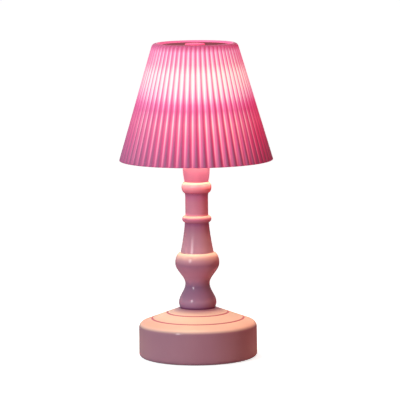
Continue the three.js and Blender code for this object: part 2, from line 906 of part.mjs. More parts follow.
// Spider: a hub on the bulb's shoulder, and a tapered ring that the shade drops over.
function shadeSpider() {
  const hubFoot = hubTop - hubThickness;
  const ringFoot = hubTop - spiderRingDrop;
  const ringTop = ringFoot + spiderRingHeight;
  const ringRadius = (height) => shadeInnerRadius(height) - slipGap;
  const hub = turned(
    [
      [bulbTipRadius + slipGap, hubFoot],
      [hubRadius - 0.6, hubFoot],
      [hubRadius, hubFoot + 0.6],
      [hubRadius - 0.5, hubTop],
      [bulbTipRadius + slipGap, hubTop],
    ],
    stemSides,
  );
  const ring = turned(
    [
      [ringRadius(ringFoot) - spiderRingWall, ringFoot],
      [ringRadius(ringFoot), ringFoot],
      [ringRadius(ringTop), ringTop],
      [ringRadius(ringTop) - spiderRingWall, ringTop],
    ],
    wideSides,
  );
  const armOutline = new THREE.Shape([
    new THREE.Vector2(hubRadius - 2, hubTop - 0.3),
    new THREE.Vector2(hubRadius - 2, hubTop - 0.3 - spiderArmThickness),
    new THREE.Vector2(ringRadius(ringTop) - spiderRingWall / 2, ringTop - spiderArmThickness),
    new THREE.Vector2(ringRadius(ringTop) - spiderRingWall / 2, ringTop - 0.3),
  ]);
  const arms = Array.from({ length: spiderArmCount }, (_, i) => {
    const geometry = new THREE.ExtrudeGeometry(armOutline, {
      depth: spiderArmWidth,
      bevelEnabled: false,
    });
    geometry.translate(0, 0, -spiderArmWidth / 2);
    geometry.rotateX(Math.PI / 2);
    geometry.rotateZ((spiderArmAngle + (360 * i) / spiderArmCount) * degrees);
    return solidOf(geometry);
  });
  return joined(hub, ring, ...arms);
}

// Outer form of the shade, solid: ribs with wide valleys between them fade out over its shoulder.
function pleatedForm() {
  const corner = [shadeTopRadius, shadeTop];
  const shoulder = rounded(
    [shadeFootRadius, shadeFoot],
    corner,
    [shadeOpeningRadius, shadeTop],
    shadeShoulderRound,
    2,
  );
  const levels = [[shadeFootRadius, shadeFoot], ...shoulder].map(([crest, height], i, all) => ({
    crest,
    height,
    depth: ((pleatDepth * crest) / shadeFootRadius) * (i < 2 ? 1 : (all.length - 1 - i) / 2),
  }));
  const riseAcrossRib = [0, 0.4, 1, 0.4];
  const columns = pleatCount * riseAcrossRib.length;
  const positions = [0, 0, shadeFoot, 0, 0, shadeTop];
  for (let column = 0; column < columns; column++) {
    const turn = pleatAngle * degrees + (2 * Math.PI * (column - 2)) / columns;
    const valley = 1 - riseAcrossRib[column % riseAcrossRib.length];
    for (const { crest, height, depth } of levels) {
      const radius = crest - depth * valley;
      positions.push(radius * Math.cos(turn), radius * Math.sin(turn), height);
    }
  }
  const point = (column, level) => 2 + (column % columns) * levels.length + level;
  const indices = [];
  for (let column = 0; column < columns; column++) {
    indices.push(0, point(column + 1, 0), point(column, 0));
    for (let level = 0; level + 1 < levels.length; level++) {
      const here = point(column, level);
      const next = point(column + 1, level);
      indices.push(here, next, next + 1, here, next + 1, here + 1);
    }
    indices.push(1, point(column, levels.length - 1), point(column + 1, levels.length - 1));
  }
  const geometry = new THREE.BufferGeometry();
  geometry.setAttribute("position", new THREE.Float32BufferAttribute(positions, 3));
  geometry.setIndex(indices);
  return solidOf(geometry);
}

// Moulded shade: ribbed outside, smooth inside, with a flat rim round the opening.
function pleatedShade() {
  const ceiling = shadeTop - shadeRimDepth;
  const inside = turned(
    [
      [0, shadeFoot - 1],
      [shadeInnerRadius(shadeFoot - 1), shadeFoot - 1],
      ...rounded(
        [shadeInnerRadius(shadeFoot), shadeFoot],
        [shadeInnerRadius(ceiling), ceiling],
        [shadeOpeningRadius, ceiling],
        shadeInnerRound,
        1,
      ),
      [shadeOpeningRadius, ceiling],
      [shadeOpeningRadius, shadeTop + 1],
      [0, shadeTop + 1],
    ],
    pleatCount,
  ).rotate([0, 0, pleatAngle]);
  return without(pleatedForm(), inside);
}

// Leads between the cells, the switch and the light. Their routes are chosen by hand.

const tabTop = bayRoof + bayWall + contactTabHeight + edgeGap;
const pinTop = switchFoot + switchHeight + switchPinLength + edgeGap;
const tabX = bayHalfLength - contactThickness / 2;
const roofTop = bayRoof + bayWall;
const boardFoot = cupLedge - edgeGap;

const route = (points) =>
  new THREE.CatmullRomCurve3(points.map((point) => new THREE.Vector3(...point)));

function leadToSwitch() {
  const path = route([
    [tabX, -cellPitch, tabTop],
    [tabX - 0.4, -cellPitch + 0.4, tabTop + 2],
    [tabX - 5, -cellPitch + 5, tabTop + 3],
    [14, 6, roofTop + 3],
    [8, 16, roofTop + 3],
    [4.5, 24, roofTop],
    [switchPinSpacing, switchMiddle, pinTop + 4],
    [switchPinSpacing, switchMiddle, pinTop],
  ]);
  return tube(path, leadRadius, leadSides, 16);
}

function leadFromSwitch() {
  const path = route([
    [0, switchMiddle, pinTop],
    [0, switchMiddle, pinTop + 4],
    [0.4, switchMiddle - 5, roofTop + 3],
    [1.6, 10, roofTop + 5],
    [1.5, 2, stemSeat - 7],
    [1.3, 0.6, stemSeat],
    [1.3, 0.6, vaseTop],
    [1.3, 0.6, collarTop],
    [1.3, 0.6, cupFoot],
    [1.3, 0.6, boardFoot],
  ]);
  return tube(path, leadRadius, leadSides, 28);
}

function leadFromCells() {
  const path = route([
    [-tabX, cellPitch, tabTop],
    [-tabX + 0.4, cellPitch - 0.2, tabTop + 2],
    [-tabX + 6, cellPitch - 3, roofTop + 4],
    [-10, 3, roofTop + 5],
    [-1.8, -0.4, stemSeat - 6],
    [-1.3, -0.6, stemSeat],
    [-1.3, -0.6, vaseTop],
    [-1.3, -0.6, collarTop],
    [-1.3, -0.6, cupFoot],
    [-1.3, -0.6, boardFoot],
  ]);
  return tube(path, leadRadius, leadSides, 28);
}

// Materials

const finish = (color, roughness, metalness = 0, extra = {}) =>
  new THREE.MeshStandardMaterial({ color, roughness, metalness, ...extra });
const bodyPlastic = finish(0xeba6ad, 0.3);
const shadePlastic = finish(0xf0609a, 0.35, 0, { side: THREE.DoubleSide });
const glowPlastic = finish(0xff8fa8, 0.35);
const frostedPlastic = finish(0xffe6d8, 0.5, 0, { emissive: 0xffd9b8 });
const blackRubber = finish(0x2b2526, 0.9);
const screwSteel = finish(0xb8babd, 0.35, 1);
const springSteel = finish(0xc9c6bf, 0.3, 1);
const cellWrap = finish(0x4f8f86, 0.4);
const boardWhite = finish(0xf2f2ec, 0.5);
const emitterYellow = finish(0xf6d65a, 0.4, 0, { emissive: 0xffe2a8 });
const resistorBlack = finish(0x1e1e20, 0.5);
const switchTin = finish(0xa9abae, 0.4, 1);
const knobBlack = finish(0x202022, 0.45);
const redSleeve = finish(0xc8202a, 0.5);
const blackSleeve = finish(0x1a1a1c, 0.5);

// Assembly

const nightLight = new THREE.Group();

function add(name, solid, material) {
  const mesh = new THREE.Mesh(geometryOf(solid), material);
  mesh.name = name;
  nightLight.add(mesh);
}

add("base_shell", baseShell(), bodyPlastic);
add("bottom_cover", bottomCover(), bodyPlastic);
footMiddles.forEach((at, i) => add(`rubber_foot_${i + 1}`, rubberFoot(at), blackRubber));
coverScrews.forEach(([x, y], i) => {
  const head = underside + counterboreDepth - screwHeadHeight;
  add(`cover_screw_${i + 1}`, screw(coverScrewLength).translate([x, y, head]), screwSteel);
});
stemScrews.forEach(([x, y], i) => {
  const head = stemSeat - seatPadThickness - screwHeadHeight;
  add(`stem_screw_${i + 1}`, screw(stemScrewLength).translate([x, y, head]), screwSteel);
});
add("battery_door", batteryDoor(), bodyPlastic);
add("door_screw", doorScrew(), screwSteel);
cells.forEach((side, i) => {
  add(`battery_${i + 1}`, cell(side), cellWrap);
  add(`battery_spring_${i + 1}`, batterySpring(side), springSteel);
});
add("plus_contact", contactPlate(1, -1, -1, true), springSteel);
add("minus_contact", contactPlate(-1, 1, 1, true), springSteel);
add("link_contact_left", contactPlate(-1, -1, 0, false), springSteel);
add("link_contact_right", contactPlate(1, 0, 1, false), springSteel);
add("switch_body", switchBody(), switchTin);
add("switch_knob", switchKnob(), knobBlack);
add("lead_cells_to_switch", leadToSwitch(), redSleeve);
add("lead_switch_to_light", leadFromSwitch(), redSleeve);
add("lead_cells_to_light", leadFromCells(), blackSleeve);
add("stem_vase", stemVase(), bodyPlastic);
add("stem_column", stemColumn(), bodyPlastic);
add("stem_collar", stemCollar(), bodyPlastic);
add("lamp_holder", lampHolder(), glowPlastic);
add("led_board", ledBoard(), boardWhite);
add("led_emitter", ledEmitter(), emitterYellow);
add("led_resistor", ledResistor(), resistorBlack);
add("bulb", bulb(), frostedPlastic);
add("shade_spider", shadeSpider(), bodyPlastic);
add("shade", pleatedShade(), shadePlastic);

export default nightLight;
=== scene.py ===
# Night light: a small battery table lamp, lit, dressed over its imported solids.
import json
import math

import bmesh
import bpy
from mathutils import Matrix, Vector


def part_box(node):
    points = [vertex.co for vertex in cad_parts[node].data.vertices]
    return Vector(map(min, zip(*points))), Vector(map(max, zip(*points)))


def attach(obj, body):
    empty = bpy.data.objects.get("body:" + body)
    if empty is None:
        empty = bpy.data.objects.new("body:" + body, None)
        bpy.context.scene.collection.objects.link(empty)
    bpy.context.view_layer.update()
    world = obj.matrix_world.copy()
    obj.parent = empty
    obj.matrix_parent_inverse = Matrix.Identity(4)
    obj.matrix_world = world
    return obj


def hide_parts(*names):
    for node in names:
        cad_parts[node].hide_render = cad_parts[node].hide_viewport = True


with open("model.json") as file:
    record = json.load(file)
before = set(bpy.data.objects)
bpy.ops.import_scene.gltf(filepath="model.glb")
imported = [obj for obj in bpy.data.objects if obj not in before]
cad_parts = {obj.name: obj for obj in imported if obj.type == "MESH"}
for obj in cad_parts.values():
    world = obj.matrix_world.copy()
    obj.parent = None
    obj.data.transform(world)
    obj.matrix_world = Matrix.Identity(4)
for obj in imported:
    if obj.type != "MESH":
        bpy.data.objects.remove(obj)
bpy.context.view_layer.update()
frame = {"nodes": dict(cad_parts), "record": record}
mm = 0.001
print("frame loaded,", len(frame["nodes"]), "nodes")


# Camera: a long lens a little above the lamp's middle, tipped slightly as in the picture.
cameraSetup = {
    "frameSide": 400,  # pixels
    "focalPixels": 3003,
    "sensorWidth": 36,
    "clipEnd": 30,
    "distance": 1.95,
    "elevation": 7.05,
    "tilt": -0.62,
    "aim": (0.0022, 0, 0.1031),
}


def newObject(name, data):
    made = bpy.data.objects.new(name, data)
    bpy.context.scene.collection.objects.link(made)
    return made


def addCamera():
    setup = cameraSetup
    lens = bpy.data.cameras.new("camera")
    lens.sensor_width = setup["sensorWidth"]
    lens.lens = setup["focalPixels"] / setup["frameSide"] * setup["sensorWidth"]
    lens.clip_end = setup["clipEnd"]
    camera = newObject("camera", lens)
    rise = math.radians(setup["elevation"])
    back = Vector((0, -math.cos(rise), math.sin(rise)))
    camera.location = Vector(setup["aim"]) + setup["distance"] * back
    camera.rotation_euler = (math.radians(90) - rise, 0, 0)
    camera.rotation_euler.rotate_axis("Z", math.radians(setup["tilt"]))
    bpy.context.scene.camera = camera
    bpy.context.scene.view_settings.view_transform = "Standard"


addCamera()
print("camera placed")


# Outlines are lists of (radius, height) in millimetres.
def mix(start, end, share):
    return start + (end - start) * share


def ease(share):
    return (1 - math.cos(math.pi * share)) / 2


def curvePoints(steps, pointAt):
    return [pointAt(i / steps) for i in range(steps + 1)]


def flare(start, end, steps):  # level at its start, upright at its end
    def pointAt(t):
        return mix(start[0], end[0], math.sin(math.pi / 2 * t)), mix(start[1], end[1], t)

    return curvePoints(steps, pointAt)


def sCurve(start, end, steps):  # upright at both ends
    def pointAt(t):
        return mix(start[0], end[0], ease(t)), mix(start[1], end[1], t)

    return curvePoints(steps, pointAt)


def closeIn(start, end, steps):  # a quarter of an oval, upright at its start and level at its end
    def pointAt(t):
        turn = math.pi / 2 * t
        return mix(end[0], start[0], math.cos(turn)), mix(start[1], end[1], math.sin(turn))

    return curvePoints(steps, pointAt)


def ringSide(neck, reach, middle, half, steps, arc=(0, 1)):  # half an oval, from its foot to its top
    turns = curvePoints(steps, lambda t: math.pi * mix(*arc, t))
    return [(mix(neck, reach, math.sin(turn)), middle - half * math.cos(turn)) for turn in turns]


def roundCorner(before, corner, after, radius, steps=3):  # an arc that touches both straight runs
    corner = Vector(corner)
    start = (Vector(before) - corner).normalized()
    end = (Vector(after) - corner).normalized()
    half = start.angle(end) / 2
    centre = (start + end).normalized() * (radius / math.sin(half))
    first = start * (radius / math.tan(half)) - centre
    last = end * (radius / math.tan(half)) - centre
    turn = math.atan2(first.x * last.y - first.y * last.x, first.dot(last))
    return curvePoints(steps, lambda t: tuple(corner + centre + Matrix.Rotation(turn * t, 2) @ first))


def boxOf(node):  # a CAD node's lowest and highest corners, in millimetres
    low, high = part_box(node)
    return Vector(low) / mm, Vector(high) / mm


def heightsOf(node):  # its foot and its top
    low, high = boxOf(node)
    return low.z, high.z


def middleOf(node):
    low, high = boxOf(node)
    return (low + high) / 2


def middlesOf(kind, count):  # of numbered nodes
    return [middleOf(f"{kind}_{i}") for i in range(1, count + 1)]


# Modelling helpers
def deselectAll():
    if bpy.context.object and bpy.context.object.mode != "OBJECT":
        bpy.ops.object.mode_set(mode="OBJECT")
    bpy.ops.object.select_all(action="DESELECT")


def makeActive(piece):
    deselectAll()
    piece.select_set(True)
    bpy.context.view_layer.objects.active = piece


def applyPlace(piece):
    makeActive(piece)
    bpy.ops.object.transform_apply(location=True, rotation=True, scale=True)


poleRadius = 0.01  # millimetres; rings this small are merged into one point
mergeDistance = 0.000003  # metres
copyMergeDistance = 0.000001
overcut = 1  # millimetres that a tool reaches past what it cuts
flatAngle = 0.5  # degrees between faces that a softened copy takes as one
sharpAngle = 40  # degrees from which it rounds an edge


def growRings(outline):  # extrudes the selected ring from the outline's first point to its last
    radius, height = outline[0]
    for nextRadius, nextHeight in outline[1:]:
        nextRadius = max(nextRadius, poleRadius)
        rise = (nextHeight - height) * mm
        bpy.ops.mesh.extrude_region_move(TRANSFORM_OT_translate={"value": (0, 0, rise)})
        factor = nextRadius / max(radius, poleRadius)
        bpy.ops.transform.resize(value=(factor, factor, 1), center_override=(0, 0, nextHeight * mm))
        radius, height = nextRadius, nextHeight


def startRing(name, outline, sides, turn=0):
    deselectAll()
    radius, height = outline[0]
    bpy.ops.mesh.primitive_circle_add(
        vertices=sides,
        radius=max(radius, poleRadius) * mm,
        location=(0, 0, height * mm),
        rotation=(0, 0, turn),
    )
    piece = bpy.context.object
    piece.name = piece.data.name = name
    applyPlace(piece)
    bpy.ops.object.mode_set(mode="EDIT")
    bpy.ops.mesh.select_all(action="SELECT")
    return piece


def closeSkin():
    bpy.ops.mesh.select_all(action="SELECT")
    bpy.ops.mesh.remove_doubles(threshold=mergeDistance)
    bpy.ops.mesh.delete_loose(use_verts=True, use_edges=True, use_faces=False)
    bpy.ops.mesh.select_all(action="SELECT")
    bpy.ops.mesh.normals_make_consistent(inside=False)


def smoothSkin(piece, angle=35):
    makeActive(piece)
    bpy.ops.object.shade_smooth_by_angle(angle=math.radians(angle))


# A full turn of an outline, which closes on itself or on the axis
def turnPiece(name, outline, sides, angle=35):
    piece = startRing(name, outline, sides)
    meetsAxis = outline[0][0] == 0 and outline[-1][0] == 0
    growRings(outline if meetsAxis else list(outline) + [outline[0]])
    closeSkin()
    smoothSkin(piece, angle)
    return piece


def applyModifier(piece, kind, **settings):
    makeActive(piece)
    modifier = piece.modifiers.new(kind, kind)
    for key, value in settings.items():
        setattr(modifier, key, value)
    bpy.ops.object.modifier_apply(modifier=modifier.name)


def combine(piece, tools, operation):  # joins the tools to the piece, or cuts them out of it
    for tool in tools:
        applyModifier(piece, "BOOLEAN", object=tool, operation=operation, solver="EXACT")
        bpy.data.objects.remove(tool)


def ownCopy(piece, name, place):  # a copy with its own mesh, and its place in that mesh
    mesh = piece.data.copy()
    mesh.name = name
    mesh.transform(place)
    return newObject(name, mesh)


def moved(x, y, z=0):
    return Matrix.Translation((x * mm, y * mm, z * mm))


def pin(name, radius, low, high, at, sides=32):  # a plain rod to join or to cut with
    rod = turnPiece(name, [(0, low), (radius, low), (radius, high), (0, high)], sides)
    rod.data.transform(moved(at[0], at[1]))
    return rod


def makeBar(sides, middle, turn=0):  # in millimetres
    deselectAll()
    bpy.ops.mesh.primitive_cube_add(size=1, location=[value * mm for value in middle])
    bar = bpy.context.object
    bar.scale = [side * mm for side in sides]
    bar.rotation_euler = (0, 0, turn)
    applyPlace(bar)
    return bar


def changeFace(bar, axis, change):  # changes the end face that looks along an axis
    bpy.ops.object.mode_set(mode="EDIT")
    bpy.ops.mesh.select_mode(type="FACE")
    bpy.ops.mesh.select_all(action="DESELECT")
    mesh = bmesh.from_edit_mesh(bar.data)
    for face in mesh.faces:
        face.select = getattr(face.normal, axis) > 0.9
    bmesh.update_edit_mesh(bar.data)
    change()
    bpy.ops.mesh.select_mode(type="VERT")
    bpy.ops.object.mode_set(mode="OBJECT")


def softenedCopy(node, name, width, segments=2):  # a CAD node with its sharp edges broken
    piece = newObject(name, frame["nodes"][node].data.copy())
    makeActive(piece)
    bpy.ops.object.mode_set(mode="EDIT")
    bpy.ops.mesh.select_all(action="SELECT")
    bpy.ops.mesh.remove_doubles(threshold=copyMergeDistance)
    bpy.ops.mesh.dissolve_limited(angle_limit=math.radians(flatAngle))
    bpy.ops.object.mode_set(mode="OBJECT")
    sharp = {"limit_method": "ANGLE", "angle_limit": math.radians(sharpAngle)}
    applyModifier(piece, "BEVEL", width=width * mm, segments=segments, **sharp)
    smoothSkin(piece)
    return piece


def wirePiece(name, points, radius, resolution=3):  # a wire along points given in millimetres
    curve = bpy.data.curves.new(name, "CURVE")
    curve.dimensions = "3D"
    curve.bevel_depth = radius * mm
    curve.bevel_resolution = resolution
    curve.use_fill_caps = True
    spline = curve.splines.new("POLY")
    spline.points.add(len(points) - 1)
    for slotPoint, point in zip(spline.points, points):
        slotPoint.co = (point[0] * mm, point[1] * mm, point[2] * mm, 1)
    makeActive(newObject(name, curve))
    bpy.ops.object.convert(target="MESH")
    piece = bpy.context.object
    bpy.ops.object.mode_set(mode="EDIT")
    closeSkin()
    smoothSkin(piece)
    return piece


# Node helpers
class Tree:
    def __init__(self, nodeTree):
        self.nodes = nodeTree.nodes
        self.links = nodeTree.links

    def add(self, kind, **inputs):
        node = self.nodes.new(kind)
        for key, value in inputs.items():
            self.feed(node.inputs[key], value)
        return node

    def feed(self, socket, value):
        if isinstance(value, bpy.types.NodeSocket):
            self.links.new(value, socket)
        else:
            socket.default_value = value

    def math(self, operation, *values, clamp=False):
        node = self.nodes.new("ShaderNodeMath")
        node.operation = operation
        node.use_clamp = clamp
        for socket, value in zip(node.inputs, values):
            self.feed(socket, value)
        return node.outputs[0]

    def blend(self, share, first, second, mode="MIX"):
        node = self.nodes.new("ShaderNodeMix")
        node.data_type = "RGBA"
        node.blend_type = mode
        self.feed(node.inputs["Factor"], share)
        self.feed(node.inputs[6], first)
        self.feed(node.inputs[7], second)
        return node.outputs[2]

    def ramp(self, value, stops):  # stops are (place, colour)
        node = self.nodes.new("ShaderNodeValToRGB")
        elements = node.color_ramp.elements
        while len(elements) < len(stops):
            elements.new(0.5)
        for element, (place, tint) in zip(elements, stops):
            element.position = place
            element.color = tint
        self.feed(node.inputs[0], value)
        return node.outputs["Color"]

    def smooth(self, value, low, high, toLow=0.0, toHigh=1.0):
        node = self.nodes.new("ShaderNodeMapRange")
        node.interpolation_type = "SMOOTHSTEP"
        for socket, setting in zip(node.inputs, (value, low, high, toLow, toHigh)):
            self.feed(socket, setting)
        return node.outputs[0]

    def noise(self, vector, scale, detail):
        return self.add("ShaderNodeTexNoise", Vector=vector, Scale=scale, Detail=detail).outputs["Fac"]

    def place(self):
        return self.nodes.new("ShaderNodeTexCoord").outputs["Object"]

    def split(self, vector):
        return self.add("ShaderNodeSeparateXYZ", Vector=vector).outputs

    def normal(self):
        return self.nodes.new("ShaderNodeNewGeometry").outputs["Normal"]

    def between(self, value, low, high):
        above, below = self.math("GREATER_THAN", value, low), self.math("LESS_THAN", value, high)
        return self.math("MULTIPLY", above, below)

    def spread(self, place):  # distance from the lamp's axis
        square = self.math("MULTIPLY", place["Y"], place["Y"])
        return self.math("SQRT", self.math("MULTIPLY_ADD", place["X"], place["X"], square))

    def across(self, place):  # 0 at the left of the axis, 1 at its right
        return self.math("MULTIPLY_ADD", self.math("DIVIDE", place["X"], self.spread(place)), 0.5, 0.5)


def newGroup(name, inputs, outputs):  # a socket called Color holds a colour, any other a number
    group = bpy.data.node_groups.new(name, "ShaderNodeTree")

    def addSocket(label, way):
        kind = "NodeSocketColor" if label == "Color" else "NodeSocketFloat"
        return group.interface.new_socket(label, in_out=way, socket_type=kind)

    for label, value in inputs.items():
        addSocket(label, "INPUT").default_value = value
    for label in outputs:
        addSocket(label, "OUTPUT")
    given = group.nodes.new("NodeGroupInput")
    result = group.nodes.new("NodeGroupOutput")
    return group, Tree(group), given.outputs, result.inputs


def placeGroup(tree, group, **inputs):
    node = tree.nodes.new("ShaderNodeGroup")
    node.node_tree = group
    for key, value in inputs.items():
        tree.feed(node.inputs[key], value)
    return node.outputs


def tone(red, green, blue):  # screen levels from 0 to 255 as Blender's linear colour
    def linear(level):
        level /= 255
        return level / 12.92 if level <= 0.04045 else ((level + 0.055) / 1.055) ** 2.4

    return (linear(red), linear(green), linear(blue), 1.0)


def newMaterial(name):
    material = bpy.data.materials.new(name)
    material.use_nodes = True
    return material, Tree(material.node_tree), material.node_tree.nodes["Principled BSDF"]


# Effects that several materials share
skinOutputs = ["Color", "Roughness", "Height"]
skinMarks = {
    "flowScale": 45.0,
    "cloudScale": 14.0,
    "peelScale": 900.0,
    "patch": (0.3, 0.75),  # the noise's range from no mark to a full one
    "cloudShare": 0.6,
    "flowShare": 0.4,
    "deeper": (0.80, 0.72, 0.78, 1),  # times the colour
}


def mouldedSkinGroup():  # plastic out of a mould: faint flow marks, uneven gloss, very fine orange peel
    inputs = {"Color": (0.8, 0.8, 0.8, 1), "Mottle": 0.05, "Gloss": 0.3, "Wear": 0.05}
    group, tree, given, result = newGroup("mouldedSkin", inputs, skinOutputs)
    marks = skinMarks
    place = tree.place()
    flow = tree.noise(place, marks["flowScale"], 2.0)
    cloud = tree.noise(place, marks["cloudScale"], 1.0)
    peel = tree.noise(place, marks["peelScale"], 1.0)
    deeper = tree.blend(1.0, given["Color"], marks["deeper"], "MULTIPLY")
    clouded = tree.smooth(cloud, *marks["patch"], 0.0, marks["cloudShare"])
    flowed = tree.smooth(flow, *marks["patch"], 0.0, marks["flowShare"])
    share = tree.math("MULTIPLY", tree.math("ADD", clouded, flowed), given["Mottle"], clamp=True)
    tree.feed(result["Color"], tree.blend(share, given["Color"], deeper))
    uneven = tree.math("MULTIPLY", tree.math("SUBTRACT", flow, 0.5), given["Wear"])
    tree.feed(result["Roughness"], tree.math("ADD", given["Gloss"], uneven, clamp=True))
    tree.feed(result["Height"], peel)
    return group


metalMarks = {
    "stretch": (1.0, 1.0, 0.12),
    "patchScale": 180.0,
    "patch": (0.45, 0.75),
    "worn": (0.72, 0.7, 0.68, 1),  # times the colour
    "wornShare": 0.5,
    "streakRoughness": 0.18,
    "patchRoughness": 0.12,
    "bump": 0.15,
}


def platedMetalGroup():  # stamped and plated steel: fine streaks and dull patches
    inputs = {"Color": (0.7, 0.7, 0.7, 1), "Gloss": 0.3, "Streaks": 300.0}
    group, tree, given, result = newGroup("platedMetal", inputs, skinOutputs)
    marks = metalMarks
    place = tree.place()
    stretched = tree.add("ShaderNodeMapping", Vector=place, Scale=marks["stretch"]).outputs[0]
    streak = tree.noise(stretched, given["Streaks"], 3.0)
    dull = tree.smooth(tree.noise(place, marks["patchScale"], 2.0), *marks["patch"])
    worn = tree.blend(1.0, given["Color"], marks["worn"], "MULTIPLY")
    share = tree.math("MULTIPLY", dull, marks["wornShare"])
    tree.feed(result["Color"], tree.blend(share, given["Color"], worn))
    rough = tree.math("MULTIPLY_ADD", streak, marks["streakRoughness"], given["Gloss"])
    rough = tree.math("MULTIPLY_ADD", dull, marks["patchRoughness"], rough, clamp=True)
    tree.feed(result["Roughness"], rough)
    tree.feed(result["Height"], streak)
    return group


def heightOnGroup():  # how far up a piece a point is, 0 at its foot and 1 at its top
    group, tree, given, result = newGroup("heightOn", {"Foot": 0.0, "Top": 1.0}, ["Share"])
    height = tree.split(tree.place())["Z"]
    rise = tree.math("SUBTRACT", height, given["Foot"])
    span = tree.math("SUBTRACT", given["Top"], given["Foot"])
    tree.feed(result["Share"], tree.math("DIVIDE", rise, span, clamp=True))
    return group


mouldedSkin = mouldedSkinGroup()
platedMetal = platedMetalGroup()
heightOn = heightOnGroup()
print("shader groups built")


def heightShare(tree, node):
    low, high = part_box(node)
    return placeGroup(tree, heightOn, Foot=low.z, Top=high.z)["Share"]


bumpDistance = 0.0001


def putSkin(tree, shader, skin, bump):  # a group's colour, roughness and height, on a shader
    tree.feed(shader.inputs["Base Color"], skin["Color"])
    tree.feed(shader.inputs["Roughness"], skin["Roughness"])
    relief = tree.add("ShaderNodeBump", Strength=bump, Distance=bumpDistance, Height=skin["Height"])
    tree.feed(shader.inputs["Normal"], relief.outputs[0])


# A look's finish is its mottle, gloss, wear and bump; its shader holds further settings, where it has any.
def coatSkin(tree, shader, tint, look):
    mottle, gloss, wear, bump = look["finish"]
    skin = placeGroup(tree, mouldedSkin, Color=tint, Mottle=mottle, Gloss=gloss, Wear=wear)
    putSkin(tree, shader, skin, bump)
    for key, value in look.get("shader", {}).items():
        shader.inputs[key].default_value = value


def plasticLike(name, tint, finish=(0.4, 0.4, 0.2, 0.1), **look):
    material, tree, shader = newMaterial(name)
    coatSkin(tree, shader, tone(*tint), {"finish": finish, **look})
    return material


def glowingPlastic(name, node, look):  # translucent plastic lit by the bulb, by height
    material, tree, shader = newMaterial(name)
    tree.feed(shader.inputs["Emission Color"], rampUp(tree, heightShare(tree, node), look["stops"]))
    coatSkin(tree, shader, tone(*look["surface"]), look)
    return material


def metalLike(name, tint, gloss):
    material, tree, shader = newMaterial(name)
    metal = placeGroup(tree, platedMetal, Color=tone(*tint), Gloss=gloss)
    putSkin(tree, shader, metal, metalMarks["bump"])
    shader.inputs["Metallic"].default_value = 1.0
    return material


def rampUp(tree, share, stops):
    return tree.ramp(share, [(place, tone(*tint)) for place, tint in stops])


bodyLook = {
    "side": [  # by height in millimetres, with painted shade at the vase's foot, at its neck, under the bead and under the collar, and painted light on the belly's top, the bead and the collar
        (31, (149, 114, 129)), (32.9, (106, 54, 90)), (34.2, (142, 104, 136)), (37.6, (159, 125, 148)),
        (42, (147, 112, 136)), (47, (126, 92, 122)), (52, (166, 116, 139)), (55, (170, 116, 140)),
        (61.6, (149, 103, 126)), (64.2, (174, 131, 144)), (65.5, (179, 136, 145)), (69, (167, 128, 145)),
        (71.7, (174, 133, 149)), (76, (165, 126, 142)), (82, (160, 117, 135)), (86, (152, 102, 127)),
        (88.2, (138, 80, 114)), (89.6, (172, 103, 127)), (91, (177, 108, 134)), (92.4, (192, 118, 142)),
        (93.4, (226, 150, 170)), (94.8, (182, 124, 145)), (102, (176, 120, 140)), (104.7, (170, 111, 138)),
        (106, (162, 100, 131)), (107.3, (153, 89, 120)), (108, (162, 80, 110)), (108.6, (192, 99, 124)),
        (111, (215, 146, 156)), (113.4, (209, 137, 149)), (115.3, (206, 144, 156)),
    ],
    "paintedLampLight": [  # painted lamp light where the surface looks up at the lamp, with a painted highlight band along the base's shoulder and painted shade at the vase's foot and neck
        (0, (219, 194, 172)), (20.4, (219, 194, 172)), (21.6, (234, 214, 192)), (22.6, (230, 208, 186)),
        (23.6, (219, 194, 172)), (30.5, (219, 194, 172)), (32.6, (190, 146, 158)), (32.9, (106, 54, 90)),
        (36, (150, 111, 138)), (48, (126, 92, 122)), (62, (190, 156, 150)), (64.2, (226, 205, 174)),
        (65.5, (240, 222, 182)), (66.9, (234, 206, 180)), (69, (219, 194, 172)), (115.3, (214, 176, 154)),
    ],
    "upward": (0.15, 0.8),  # the normal's height where the painted lamp light begins, and where it is full
    # painted shade in the grooves
    "paintedGrooveShade": (184, 74, 104),
    "grooveShare": 0.82,
    "grooveEdge": (0.0004, 0.0007),
    "grooveTop": 0.0005,  # below the seat
    "paintedSideLight": [  # painted side light: times the side's tone, from the left (0) to the right (1)
        (0.0, (1.08, 1.1, 1.02, 1)), (0.03, (1.05, 1.06, 1, 1)), (0.12, (1, 1, 1, 1)), (0.6, (1, 1, 1, 1)),
        (0.85, (1, 0.98, 0.86, 1)), (1.0, (1.1, 0.96, 0.8, 1)),
    ],
    "paintedLampLightAround": [  # the same painted side light for the painted lamp light, near the shoulder only
        (0.0, (0.97, 0.78, 0.79, 1)), (0.12, (0.98, 0.82, 0.82, 1)), (0.28, (1, 0.93, 0.94, 1)),
        (0.4, (1, 1, 1, 1)), (0.7, (1, 1, 1, 1)), (0.85, (1.06, 1.02, 1, 1)), (1.0, (1.12, 1.02, 0.98, 1)),
    ],
    "nearShoulder": (0.024, 0.034),
    "finish": (0.35, 0.3, 0.15, 0.04),
    "shader": {"Specular IOR Level": 0, "Coat Weight": 0.32, "Coat Roughness": 0.18},
}
baseShape = {
    "seatRadius": 11.6,
    "shoulderHeight": 22.75,
    "draft": 0.15,
    "edgeRound": 2.6,
    "shoulderRound": 4,
    "wall": 2.4,
    "seatPad": 4,
    "bore": 3.2,
    "grooves": (29.85, 19.9),
    "grooveWidth": 1.2,
    "grooveProfile": ((1, 0), (0.7, 0.225), (0.3, 0.475), (-0.3, 0.475), (-0.7, 0.225), (-1, 0)),
    "seatRound": 0.4,
    "innerDrop": 0.1,
    "boss": (3.1, 4.8, 24.3),  # radius, foot and top
    "pilotRadius": 1.4,
    "pilotTop": 14.8,
    "stemPilotFoot": 20,
    "sides": 160,
}


